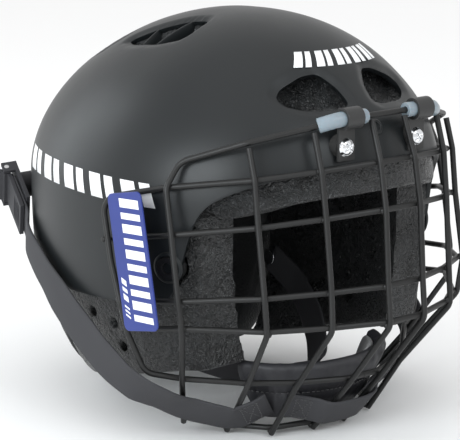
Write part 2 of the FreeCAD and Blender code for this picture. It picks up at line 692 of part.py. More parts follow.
centre_right = [((-34, -84, 20), (-0.4, -0.7, -0.6)), ((-22, -93, 17), (-0.5, -0.7, -0.6)),
                ((-12.5, -98.6, 14.5), (-0.15, -0.76, -0.65))]
centre_left = [((-x, y, z), (-a, b, c)) for (x, y, z), (a, b, c) in reversed(centre_right)]
keep(strap("centre_strap", centre_right + centre_left, "centre_strap_width"), "centre_strap")

CHIN_STRAP = [((-69, 48, 68), (-1, 0, 0)), ((-69, 22, 53), (-0.95, -0.2, -0.2)),
              ((-52, -12, 38), (-0.7, -0.5, -0.5)), ((-28, -42, 27), (-0.5, -0.6, -0.6)),
              ((-4, -57.5, 24), (-0.1, -0.7, -0.7)), ((12, -59, 24), (0, -0.7, -0.7))]
keep(strap("right_chin_strap", CHIN_STRAP, "chin_strap_width"), "right_chin_strap")
left_route = [((-x, y, z), (-a, b, c)) for (x, y, z), (a, b, c) in CHIN_STRAP[:4]]
left_route += [((10, -53.3, 26.6), (0.1, -0.7, -0.7)), ((-8, -54.3, 27.6), (0, -0.7, -0.7))]
keep(strap("left_chin_strap", left_route, "chin_strap_width"), "left_chin_strap")

snap_axis = Vector(0, -0.7, -0.7).normalize()
snap_middle = Vector(1.5, -58.3, 24.2)
keep(cylinder("chin_snap_cap", frame_at(snap_middle + snap_axis * 0.95, snap_axis, (1, 0, 0)), "2.4", "6"),
     "chin_snap_cap")

anchor_spot = Vector(-69, 48, 68)
rivet = cylinder("strap_rivet", frame_at(anchor_spot + Vector(1.1, 0, 0), (1, 0, 0), (0, 0, 1)), "1.6", "5")
both_sides("strap_rivet", rivet)

# ---------------------------------------------------------------- chin cup

CUP_LEVELS = [(8.0, 36.0, 25.0), (24.0, 47.0, 37.0), (45.0, 55.0, 44.0)]
CUP_CENTRE_Y = -57.0


def cup_solid(name, wall, levels):
    """A bowl lofted through half-ellipse plans, open behind the chin."""
    rings = []
    for number, (level, half_width, depth) in enumerate(levels):
        arc = Part.Ellipse(Vector(0, 0, 0), max(half_width, depth) - wall, min(half_width, depth) - wall)
        ring = feature(f"{name}_ring{number}", Part.Wire([arc.toShape()]))
        ring.Placement = FreeCAD.Placement(Vector(0, CUP_CENTRE_Y, level), FreeCAD.Rotation())
        rings.append(ring)
    item = doc.addObject("Part::Loft", name)
    item.Sections = rings
    item.Solid = True
    return item


cup_front = prism("cup_front", [Vector(0, CUP_CENTRE_Y - 4, -20), Vector(0, -140, -20), Vector(0, -140, 90),
                                Vector(0, CUP_CENTRE_Y - 4, 90)], (1, 0, 0), 200)
outer_bowl = cup_solid("cup_outside", 0.0, CUP_LEVELS)
inner_bowl = cup_solid("cup_inside", 5.0, [(7.5, 36, 25), CUP_LEVELS[1], (45.5, 55, 44)])
keep(common("chin_cup", cut("cup_wall", outer_bowl, inner_bowl), cup_front), "chin_cup")
liner_bowl = cup_solid("cup_liner_outside", 5.4, [(12, 38, 28), CUP_LEVELS[1], (43, 54, 43)])
liner_hollow = cup_solid("cup_liner_inside", 9.4, [(11.5, 38, 28), CUP_LEVELS[1], (43.5, 54, 43)])
keep(common("chin_cup_liner", cut("liner_wall", liner_bowl, liner_hollow), cup_front), "chin_cup_liner")

# ---------------------------------------------------------------- side label plate

label_body = doc.addObject("PartDesign::Body", "label_body")
label_planes = {item.Role: item for item in label_body.Origin.OriginFeatures}
label_sketch = label_body.newObject("Sketcher::SketchObject", "label_outline")
label_sketch.AttachmentSupport = [(label_planes["XY_Plane"], "")]
label_sketch.MapMode = "FlatFace"
half_w, half_h, corner = size("label_width") / 2, size("label_height") / 2, size("label_corner_radius")
for sx, sy in ((1, 1), (-1, 1), (-1, -1), (1, -1)):
    turn = {(1, 1): 0, (-1, 1): 90, (-1, -1): 180, (1, -1): 270}[(sx, sy)]
    middle = Vector(sx * (half_w - corner), sy * (half_h - corner), 0)
    label_sketch.addGeometry(Part.ArcOfCircle(Part.Circle(middle, Vector(0, 0, 1), corner),
                                              math.radians(turn), math.radians(turn + 90)))
label_sketch.addGeometry(Part.LineSegment(Vector(half_w - corner, half_h, 0), Vector(corner - half_w, half_h, 0)))
label_sketch.addGeometry(Part.LineSegment(Vector(-half_w, half_h - corner, 0), Vector(-half_w, corner - half_h, 0)))
label_sketch.addGeometry(Part.LineSegment(Vector(corner - half_w, -half_h, 0), Vector(half_w - corner, -half_h, 0)))
label_sketch.addGeometry(Part.LineSegment(Vector(half_w, corner - half_h, 0), Vector(half_w, half_h - corner, 0)))
label_pad = label_body.newObject("PartDesign::Pad", "label_pad")
label_pad.Profile = label_sketch
bind(label_pad, Length="Dimensions.label_thickness")
label_frame = frame_at((-118.9, -50.5, 112.5), (-1, 0, 0), (0, 1, 0))
label_frame = FreeCAD.Placement(label_frame.Base,
                                FreeCAD.Rotation(Vector(1, 0, 0), -11.5).multiply(label_frame.Rotation))
label_body.Placement = label_frame
keep(label_body, "side_plate")

# ---------------------------------------------------------------- check and write

doc.recompute()
problems = [item.Label for item in doc.Objects if {"Invalid", "Error"} & set(item.State)]
for item in SUBPARTS:
    if item.Shape.isNull() or not item.Shape.isValid() or not item.Shape.Solids:
        problems.append(item.Label)
if problems:
    raise RuntimeError("failed: " + ", ".join(sorted(set(problems))))

os.makedirs("parts", exist_ok=True)
for item in SUBPARTS:
    item.Shape.exportStep(os.path.join("parts", f"{item.Label}.step"))
print(len(SUBPARTS), "pieces written")
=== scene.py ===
"""Looks for an ice hockey helmet with a wire face cage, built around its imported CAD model.

Metres, in the CAD model's own frame: +Z up, the wearer looks along -Y, and the wearer's right is -X.
Sizes written in millimetres are turned into metres by MM.
"""

import math

import bmesh
import bpy
import numpy as np
from mathutils import Matrix, Vector, noise
from mathutils.kdtree import KDTree


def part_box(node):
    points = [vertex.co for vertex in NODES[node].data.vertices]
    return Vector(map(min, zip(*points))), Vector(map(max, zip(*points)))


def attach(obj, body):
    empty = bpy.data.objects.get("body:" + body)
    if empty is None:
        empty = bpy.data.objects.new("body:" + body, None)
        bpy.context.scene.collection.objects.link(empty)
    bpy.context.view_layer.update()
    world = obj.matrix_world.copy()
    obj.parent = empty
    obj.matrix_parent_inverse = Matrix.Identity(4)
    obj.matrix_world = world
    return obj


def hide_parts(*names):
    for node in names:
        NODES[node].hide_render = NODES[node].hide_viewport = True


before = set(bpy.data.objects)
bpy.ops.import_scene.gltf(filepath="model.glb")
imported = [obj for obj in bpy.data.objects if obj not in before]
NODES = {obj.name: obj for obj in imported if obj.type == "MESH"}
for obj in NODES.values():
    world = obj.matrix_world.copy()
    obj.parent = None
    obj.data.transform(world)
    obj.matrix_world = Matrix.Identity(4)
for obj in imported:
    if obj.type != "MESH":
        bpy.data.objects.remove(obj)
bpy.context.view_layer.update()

bl_info = {
    "name": "Ice Hockey Helmet Looks",
    "version": (1, 0, 0),
    "blender": (4, 5, 0),
    "location": "View3D > Sidebar > Helmet",
    "description": "Builds the shell, foam, cage, webbing and chin cup of an ice hockey helmet",
    "category": "Object",
}

MM = 0.001
SIDES = ("right", "left")
FLOOR_HALF_WIDTH, FLOOR_LEVEL = 6.0, -0.0006


# ---------------------------------------------------------------- settings


class ShellSettings(bpy.types.PropertyGroup):
    """Sizes and colours of the moulded shell and its printed bars."""

    colour: bpy.props.FloatVectorProperty(
        name="Shell colour", description="Colour of the moulded plastic", subtype="COLOR", size=4,
        default=(0.0085, 0.0102, 0.0112, 1))
    print_colour: bpy.props.FloatVectorProperty(
        name="Print colour", description="Colour of the bars printed on the shell and plate", subtype="COLOR", size=4,
        default=(0.86, 0.87, 0.88, 1))
    wall: bpy.props.FloatProperty(
        name="Wall", description="Thickness of the shell", default=3.0 * MM, unit="LENGTH")
    lip_depth: bpy.props.FloatProperty(
        name="Vent lip", description="How far the surface dips into a vent", default=2.0 * MM, unit="LENGTH")
    lip_width: bpy.props.FloatProperty(
        name="Vent lip width", description="Width of the dip round a vent", default=4.6 * MM, unit="LENGTH")
    columns: bpy.props.IntProperty(
        name="Columns", description="Divisions round the shell", default=320, min=64, max=400)
    rows: bpy.props.IntProperty(
        name="Rows", description="Divisions from the lower edge to the crown", default=96, min=24, max=120)


class FoamSettings(bpy.types.PropertyGroup):
    """Sizes and colours of the foam pads."""

    colour: bpy.props.FloatVectorProperty(
        name="Foam colour", description="Colour between the creases of the foam's skin", subtype="COLOR", size=4,
        default=(0.0045, 0.0047, 0.005, 1))
    # The crease colour is a painted highlight on the foam's raised creases; the fine foam uses it, dimmed, as the
    # light tone of its mottling.
    crease_highlight_and_mottle_colour: bpy.props.FloatVectorProperty(
        name="Crease colour", description="Colour along the creases", subtype="COLOR", size=4,
        default=(0.030, 0.033, 0.035, 1))
    grain: bpy.props.FloatProperty(
        name="Grain", description="Size of the mesh that carries the foam's dents", default=1.6 * MM, unit="LENGTH")
    dent_depth: bpy.props.FloatProperty(
        name="Dent depth", description="Depth of the dents in the foam", default=0.7 * MM, unit="LENGTH")


class CageSettings(bpy.types.PropertyGroup):
    """Sizes and colours of the wire cage and its fittings."""

    wire_colour: bpy.props.FloatVectorProperty(
        name="Wire colour", description="Colour of the coated wire", subtype="COLOR", size=4,
        default=(0.0035, 0.0035, 0.004, 1))
    sleeve_colour: bpy.props.FloatVectorProperty(
        name="Sleeve colour", description="Colour of the pivot sleeves", subtype="COLOR", size=4,
        default=(0.20, 0.245, 0.28, 1))
    plate_colour: bpy.props.FloatVectorProperty(
        name="Plate colour", description="Colour of the side plate", subtype="COLOR", size=4,
        default=(0.017, 0.033, 0.19, 1))
    weld_radius: bpy.props.FloatProperty(
        name="Weld radius", description="Radius of the coated weld where two wires cross", default=1.75 * MM,
        unit="LENGTH")


class StrapSettings(bpy.types.PropertyGroup):
    """Sizes and colours of the woven straps."""

    colour: bpy.props.FloatVectorProperty(
        name="Webbing colour", description="Colour of the woven straps", subtype="COLOR", size=4,
        default=(0.0075, 0.0085, 0.0092, 1))
    rib: bpy.props.FloatProperty(
        name="Rib", description="Width of one rib of the weave", default=1.15 * MM, unit="LENGTH")
    stitch_spacing: bpy.props.FloatProperty(
        name="Stitch spacing", description="Distance from stitch to stitch", default=2.4 * MM, unit="LENGTH")


class CupSettings(bpy.types.PropertyGroup):
    """Sizes and colours of the padded chin cup."""

    colour: bpy.props.FloatVectorProperty(
        name="Cup colour", description="Colour of the cup's cover", subtype="COLOR", size=4,
        default=(0.0125, 0.0125, 0.013, 1))
    roll: bpy.props.FloatProperty(
        name="Roll", description="How far the padded rim stands out", default=2.0 * MM, unit="LENGTH")
    wrinkle: bpy.props.FloatProperty(
        name="Wrinkle", description="Depth of the wrinkles in the cover", default=0.9 * MM, unit="LENGTH")


class StageSettings(bpy.types.PropertyGroup):
    """Camera, floor and light."""

    azimuth: bpy.props.FloatProperty(
        name="Azimuth", description="Direction of the camera round the helmet", subtype="ANGLE",
        default=math.radians(-40.0))
    elevation: bpy.props.FloatProperty(
        name="Elevation", description="Height of the camera above the horizon", subtype="ANGLE",
        default=math.radians(12.6))
    distance: bpy.props.FloatProperty(
        name="Distance", description="From the camera to the point it looks at", default=1.2, unit="LENGTH")
    target: bpy.props.FloatVectorProperty(
        name="Target", description="The point the camera looks at", subtype="TRANSLATION",
        default=(-0.0115, -0.0056, 0.1132))
    lens: bpy.props.FloatProperty(
        name="Lens", description="Focal length on a 36 mm sensor, in millimetres", default=154.9)
    floor_colour: bpy.props.FloatVectorProperty(
        name="Floor colour", description="Colour of the floor and backdrop", subtype="COLOR", size=4,
        default=(0.87, 0.87, 0.87, 1))
    room_strength: bpy.props.FloatProperty(
        name="Room light", description="Brightness of the plain white room, the same in every direction",
        default=0.93)


SETTINGS = {
    "helmet_shell": ShellSettings,
    "helmet_foam": FoamSettings,
    "helmet_cage": CageSettings,
    "helmet_strap": StrapSettings,
    "helmet_cup": CupSettings,
    "helmet_stage": StageSettings,
}


# ---------------------------------------------------------------- materials


class Finish:
    """A node material being put together around one Principled shader."""

    def __init__(self, name, roughness, metallic=0.0, **sockets):
        self.material = bpy.data.materials.new(name)
        self.material.use_nodes = True
        self.tree = self.material.node_tree
        self.shader = self.tree.nodes["Principled BSDF"]
        self.shader.inputs["Roughness"].default_value = roughness
        self.shader.inputs["Metallic"].default_value = metallic
        for socket, value in sockets.items():
            self.shader.inputs[socket.replace("_", " ")].default_value = value
        self.place = self.node("ShaderNodeTexCoord").outputs["Object"]

    def node(self, kind, inputs=None, **settings):
        made = self.tree.nodes.new(kind)
        for key, value in settings.items():
            setattr(made, key, value)
        for key, value in (inputs or {}).items():
            if isinstance(value, bpy.types.NodeSocket):
                self.tree.links.new(value, made.inputs[key])
            else:
                made.inputs[key].default_value = value
        return made

    def on_uv(self):
        """Patterns follow the piece's own UV map from here on."""
        self.place = self.node("ShaderNodeTexCoord").outputs["UV"]
        return self

    def noise(self, scale, detail=3.0, roughness=0.55, distortion=0.0):
        return self.node("ShaderNodeTexNoise", {"Vector": self.place, "Scale": scale, "Detail": detail,
                                                "Roughness": roughness, "Distortion": distortion}).outputs["Fac"]

    def cells(self, scale, feature="DISTANCE_TO_EDGE", place=None, randomness=1.0):
        return self.node("ShaderNodeTexVoronoi", {"Vector": place or self.place, "Scale": scale,
                                                  "Randomness": randomness}, feature=feature).outputs["Distance"]

    def warped_place(self, scale, amount):
        """The pattern's place shifted by noise, so that cells lose their straight sides."""
        shift = self.node("ShaderNodeTexNoise", {"Vector": self.place, "Scale": scale, "Detail": 3.0})
        scaled = self.node("ShaderNodeVectorMath", {0: shift.outputs["Color"], 1: (amount,) * 3},
                           operation="MULTIPLY")
        return self.node("ShaderNodeVectorMath", {0: self.place, 1: scaled.outputs[0]}).outputs[0]

    def waves(self, scale, direction, distortion=0.0, profile="SIN", place=None):
        return self.node("ShaderNodeTexWave", {"Vector": place or self.place, "Scale": scale,
                                               "Distortion": distortion, "Detail": 1.0, "Detail Scale": 2.0},
                         bands_direction=direction, wave_profile=profile).outputs["Fac"]

    def ramp(self, factor, *stops):
        """A factor remapped through (position, grey) stops."""
        made = self.node("ShaderNodeValToRGB", {"Fac": factor})
        elements = made.color_ramp.elements
        while len(elements) < len(stops):
            elements.new(0.5)
        for element, (position, grey) in zip(elements, stops):
            element.position = position
            element.color = (grey, grey, grey, 1)
        return made.outputs["Color"]

    def maths(self, operation, first, second):
        return self.node("ShaderNodeMath", {0: first, 1: second}, operation=operation).outputs[0]

    def colour(self, factor, low, high):
        """The base colour runs from low to high with the factor."""
        mixed = self.node("ShaderNodeMix", {"Factor": factor, 6: low, 7: high}, data_type="RGBA")
        self.tree.links.new(mixed.outputs[2], self.shader.inputs["Base Color"])
        return self

    def roughness(self, factor, low, high):
        remap = self.node("ShaderNodeMapRange", {"Value": factor, "To Min": low, "To Max": high})
        self.tree.links.new(remap.outputs[0], self.shader.inputs["Roughness"])
        return self

    def bump(self, height, distance, strength=1.0):
        """Adds a layer of relief; distance is in metres."""
        made = self.node("ShaderNodeBump", {"Height": height, "Distance": distance, "Strength": strength})
        earlier = self.shader.inputs["Normal"]
        if earlier.is_linked:
            self.tree.links.new(earlier.links[0].from_socket, made.inputs["Normal"])
        self.tree.links.new(made.outputs["Normal"], earlier)
        return self


def tint(colour, factor):
    """A colour made lighter or darker."""
    return (*(min(channel * factor, 1.0) for channel in colour[:3]), 1.0)


def satin_shell(settings):
    """Satin moulded plastic with a fine mould texture and faint handling marks."""
    made = Finish("satin_shell", 0.38, Specular_IOR_Level=0.33)
    made.colour(made.noise(9.0, 4.0), tint(settings.colour, 0.86), tint(settings.colour, 1.16))
    made.roughness(made.noise(42.0, 5.0, 0.7), 0.35, 0.44)
    made.bump(made.noise(2600.0, 2.0), 0.00003, 0.55)
    return made.bump(made.noise(18.0, 2.0), 0.00025, 0.35).material


def foam_skin(settings, name="foam_skin", cell=230.0, relief=0.0028, sheen=0.0):
    """Moulded foam skin: smooth cells parted by raised creases, painted lighter along the creases as a highlight on
    their ridges.
    """
    made = Finish(name, 0.42, Specular_IOR_Level=0.85, Sheen_Weight=sheen, Sheen_Roughness=0.5)
    place = made.warped_place(230.0, 0.0085)
    large = made.cells(cell, place=place)
    small = made.cells(cell * 2.4, place=place)
    creases = made.ramp(large, (0.0, 1.0), (0.06, 0.7), (0.22, 0.25), (0.5, 0.0))
    veins = made.ramp(small, (0.0, 0.6), (0.18, 0.0))
    patches = made.ramp(made.noise(70.0, 4.0), (0.36, 0.15), (0.66, 1.0))
    relief_height = made.maths("ADD", creases, made.maths("MULTIPLY", veins, 0.5))
    # Painted highlight: the colour runs lighter with the relief height, so the raised creases and veins carry a
    # painted highlight; the patches add random tone.
    made.colour(made.maths("MULTIPLY", relief_height, patches), settings.colour, settings.crease_highlight_and_mottle_colour)
    made.roughness(patches, 0.24, 0.42)
    made.bump(relief_height, relief, 1.0)
    return made.bump(made.noise(1500.0, 3.0), 0.00008, 0.6).material


def fine_foam(settings, name="fine_foam", factor=1.0):
    """The smoother face of a pad: close grain with soft mottling."""
    made = Finish(name, 0.5, Specular_IOR_Level=0.45)
    made.colour(made.noise(320.0, 5.0, 0.7), tint(settings.colour, factor),
                tint(settings.crease_highlight_and_mottle_colour, 0.55 * factor))
    made.roughness(made.noise(120.0), 0.45, 0.64)
    made.bump(made.cells(520.0), 0.0007, 0.9)
    return made.bump(made.noise(60.0, 3.0), 0.0005, 0.5).material


def coated_wire(settings):
    """Glossy coating with a faint orange-peel and tiny scuffs."""
    made = Finish("coated_wire", 0.16, Specular_IOR_Level=0.62)
    made.colour(made.noise(90.0), tint(settings.wire_colour, 0.8), tint(settings.wire_colour, 1.7))
    made.roughness(made.noise(260.0, 5.0, 0.7), 0.10, 0.22)
    return made.bump(made.noise(420.0, 2.0), 0.00005, 0.5).material


def soft_sleeve(settings):
    """Grey flexible plastic with faint lengthwise flow marks."""
    made = Finish("soft_sleeve", 0.34, Subsurface_Weight=0.08, Subsurface_Scale=0.004, Specular_IOR_Level=0.5)
    made.colour(made.noise(110.0, 4.0), tint(settings.sleeve_colour, 0.78), tint(settings.sleeve_colour, 1.22))
    made.roughness(made.noise(300.0), 0.28, 0.44)
    return made.bump(made.noise(700.0, 3.0), 0.00006, 0.5).material


def clip_metal():
    """Coated steel strip, a little rough from stamping."""
    made = Finish("clip_metal", 0.34, Coat_Weight=0.25, Coat_Roughness=0.25, Specular_IOR_Level=0.5)
    made.colour(made.noise(240.0, 5.0), (0.012, 0.012, 0.013, 1), (0.030, 0.030, 0.032, 1))
    made.roughness(made.noise(500.0, 4.0), 0.26, 0.46)
    return made.bump(made.noise(900.0, 3.0), 0.00005, 0.7).material


def bright_metal(name, base, roughness, streak=650.0):
    """Plated metal with turning marks and a little tarnish."""
    made = Finish(name, roughness, metallic=1.0)
    made.colour(made.noise(180.0, 5.0), tint(base, 0.72), tint(base, 1.05))
    made.roughness(made.noise(streak, 4.0, 0.7), roughness * 0.6, roughness * 1.7)
    return made.bump(made.noise(streak * 1.6, 2.0), 0.00003, 0.6).material


def moulded_plastic(name, base, roughness=0.42):
    """Matte moulded fitting with a spark-eroded texture."""
    made = Finish(name, roughness, Specular_IOR_Level=0.2)
    made.colour(made.noise(130.0, 4.0), tint(base, 0.75), tint(base, 1.35))
    made.roughness(made.noise(400.0, 4.0), roughness - 0.08, roughness + 0.1)
    return made.bump(made.cells(1700.0), 0.00005, 0.6).material


def plate_plastic(settings):
    """Glossy coloured plate with a printed gloss film over it."""
    made = Finish("plate_plastic", 0.32, Specular_IOR_Level=0.4)
    made.colour(made.noise(60.0, 4.0), tint(settings.plate_colour, 0.88), tint(settings.plate_colour, 1.14))
    made.roughness(made.noise(210.0, 4.0), 0.28, 0.40)
    return made.bump(made.noise(500.0, 2.0), 0.00004, 0.5).material


def print_ink(settings):
    """Opaque printed ink, slightly uneven."""
    made = Finish("print_ink", 0.42)
    made.colour(made.noise(220.0, 4.0), tint(settings.print_colour, 0.9), tint(settings.print_colour, 1.04))
    made.roughness(made.noise(500.0), 0.36, 0.5)
    return made.bump(made.noise(900.0, 2.0), 0.00003, 0.4).material


def webbing(settings, name="webbing", factor=1.0):
    """Herringbone webbing: ribs along the strap crossed by slanted floats, on the strap's own UV map."""
    made = Finish(name, 0.6, Sheen_Weight=0.02, Sheen_Roughness=0.45, Specular_IOR_Level=0.2).on_uv()
    per_metre = 1.0 / settings.rib
    ribs = made.waves(per_metre * 0.5, "Y")
    slanted = made.node("ShaderNodeMapping", {"Vector": made.place, "Rotation": (0, 0, math.radians(52))})
    floats = made.waves(per_metre * 0.62, "X", 0.6, place=slanted.outputs[0])
    cloth = made.maths("ADD", made.maths("MULTIPLY", ribs, 0.55), made.maths("MULTIPLY", floats, 0.75))
    fuzz = made.noise(2300.0, 3.0, 0.7)
    # Painted shade and highlight: the colour follows the weave's relief, darker in the grooves and lighter on the ribs
    # and floats, times a broad random tone.
    painted_weave_shade_and_tone = made.maths("MULTIPLY", cloth, made.ramp(made.noise(40.0, 3.0), (0.3, 0.6), (0.7, 1.0)))
    made.colour(painted_weave_shade_and_tone, tint(settings.colour, 0.45 * factor), tint(settings.colour, 2.0 * factor))
    made.roughness(fuzz, 0.46, 0.7)
    made.bump(cloth, 0.0012, 1.0)
    return made.bump(fuzz, 0.00008, 0.5).material


def thread(name, base):
    """Twisted polyester thread."""
    made = Finish(name, 0.55, Sheen_Weight=0.3)
    made.colour(made.noise(1500.0), tint(base, 0.7), tint(base, 1.4))
    return made.bump(made.waves(900.0, "DIAGONAL"), 0.00005, 0.7).material


def cup_leather(settings):
    """Synthetic leather: pebble grain, crossing creases and rubbed highlights."""
    made = Finish("cup_leather", 0.36, Specular_IOR_Level=0.5)
    place = made.warped_place(240.0, 0.0022)
    pebbles = made.ramp(made.cells(780.0, place=place), (0.0, 0.0), (0.16, 1.0))
    creases = made.ramp(made.noise(58.0, 5.0, 0.62, 1.4), (0.44, 1.0), (0.5, 0.0), (0.56, 1.0))
    rubbed = made.ramp(made.noise(34.0, 3.0), (0.42, 0.0), (0.72, 1.0))
    made.colour(rubbed, tint(settings.colour, 0.7), tint(settings.colour, 2.1))
    made.roughness(rubbed, 0.44, 0.27)
    made.bump(creases, 0.00045, 0.5)
    return made.bump(pebbles, 0.00028, 0.9).material


def soft_lining():
    """Brushed lining cloth over thin foam."""
    made = Finish("soft_lining", 0.85, Sheen_Weight=0.5, Sheen_Roughness=0.5)
    made.colour(made.noise(900.0, 4.0, 0.7), (0.012, 0.012, 0.013, 1), (0.038, 0.038, 0.041, 1))
    made.bump(made.cells(1300.0), 0.00014, 0.7)
    return made.bump(made.noise(80.0), 0.0006, 0.4).material


def dark_recess():
    """The unlit inside of a hole: rough and nearly black."""
    made = Finish("dark_recess", 0.8, Specular_IOR_Level=0.15)
    made.colour(made.noise(400.0), (0.002, 0.002, 0.002, 1), (0.006, 0.006, 0.006, 1))
    return made.bump(made.noise(900.0), 0.0001, 0.5).material


def rubber_washer():
    """Dull rubber with a fine bloom."""
    made = Finish("rubber_washer", 0.62)
    made.colour(made.noise(300.0), (0.012, 0.012, 0.012, 1), (0.022, 0.022, 0.021, 1))
    return made.bump(made.noise(1200.0, 3.0), 0.00006, 0.6).material


# ---------------------------------------------------------------- making pieces


def settings_of(name):
    return getattr(bpy.context.scene, name)


def shared(name, make, *arguments):
    """A material made once and used by every piece of that finish."""
    found = bpy.data.materials.get(name)
    return found or make(*arguments)


def mesh_piece(name, vertices, faces, material, uvs=None):
    """A new smooth-shaded object whose place is in its mesh."""
    mesh = bpy.data.meshes.new(name)
    mesh.from_pydata([tuple(v) for v in vertices], [], [tuple(int(i) for i in f) for f in faces])
    mesh.update()
    if uvs is not None:
        layer = mesh.uv_layers.new(name="UVMap")
        flat = np.array([uvs[loop.vertex_index] for loop in mesh.loops], dtype=np.float32)
        layer.data.foreach_set("uv", flat.ravel())
    mesh.materials.append(material)
    mesh.polygons.foreach_set("use_smooth", [True] * len(mesh.polygons))
    item = bpy.data.objects.new(name, mesh)
    bpy.context.scene.collection.objects.link(item)
    return item


def settle(item):
    """Turns what the modifiers show into the piece's own mesh, and removes them."""
    bpy.context.view_layer.update()
    graph = bpy.context.evaluated_depsgraph_get()
    mesh = bpy.data.meshes.new_from_object(item.evaluated_get(graph), preserve_all_data_layers=True,
                                           depsgraph=graph)
    old = item.data
    item.modifiers.clear()
    item.data = mesh
    if old.users == 0:
        bpy.data.meshes.remove(old)
    mesh.name = item.name
    return item


def face_outwards(item):
    """Recalculates the normals of a closed piece."""
    shape = bmesh.new()
    shape.from_mesh(item.data)
    bmesh.ops.recalc_face_normals(shape, faces=shape.faces)
    shape.to_mesh(item.data)
    shape.free()
    return item


def place_on(item, body, slot, *nodes):
    """The piece rides on a body and stands for its CAD nodes; slot is not used."""
    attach(item, body)
    if nodes:
        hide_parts(*nodes)
    return item


def copied(node, name, material):
    """A merged copy of a CAD node's mesh, to be worked on."""
    shape = bmesh.new()
    shape.from_mesh(NODES[node].data)
    bmesh.ops.remove_doubles(shape, verts=shape.verts, dist=2e-6)
    mesh = bpy.data.meshes.new(name)
    shape.to_mesh(mesh)
    shape.free()
    mesh.materials.clear()
    mesh.materials.append(material)
    for attribute in [a.name for a in mesh.attributes if a.name == "custom_normal"]:
        mesh.attributes.remove(mesh.attributes[attribute])
    item = bpy.data.objects.new(name, mesh)
    bpy.context.scene.collection.objects.link(item)
    return item


def softened(node, name, material, body, slot, radius=0.35 * MM):
    """A CAD node's copy with its sharp edges rounded over, which stands for the node."""
    item = copied(node, name, material)
    shape = bmesh.new()
    shape.from_mesh(item.data)
    bmesh.ops.dissolve_limit(shape, angle_limit=math.radians(1.5), verts=shape.verts, edges=shape.edges)
    shape.to_mesh(item.data)
    shape.free()
    item.data.polygons.foreach_set("use_smooth", [True] * len(item.data.polygons))
    bevel = item.modifiers.new("soft edges", "BEVEL")
    bevel.width, bevel.segments, bevel.limit_method = radius, 3, "ANGLE"
    bevel.angle_limit = math.radians(34)
    bevel.harden_normals = True
    settle(item)
    return place_on(item, body, slot, node)


def cad_finish(material, *names):
    """Gives CAD nodes that stay in view their finish."""
    for name in names:
        mesh = NODES[name].data
        mesh.materials.clear()
        mesh.materials.append(material)


def turned(name, profile, origin, axis, material, sides=48):
    """A turned part: a (radius, height) profile spun about an axis; both ends are closed."""
    axis = Vector(axis).normalized()
    across = axis.orthogonal().normalized()
    other = axis.cross(across)
    points, faces = [], []
    for radius, height in profile:
        for step in range(sides):
            turn = 2 * math.pi * step / sides
            spoke = across * math.cos(turn) + other * math.sin(turn)
            points.append(Vector(origin) + (axis * height + spoke * radius))
    for row in range(len(profile) - 1):
        for step in range(sides):
            a, b = row * sides + step, row * sides + (step + 1) % sides
            faces.append((a, b, b + sides, a + sides))
    faces.append(tuple(reversed(range(sides))))
    faces.append(tuple(range(len(points) - sides, len(points))))
    return face_outwards(mesh_piece(name, points, faces, material))


# ---------------------------------------------------------------- geometry node trees


def socket_key(tree, name):
    """The identifier of a tree's named input."""
    return next(item.identifier for item in tree.interface.items_tree
                if item.item_type == "SOCKET" and item.in_out == "INPUT" and item.name == name)


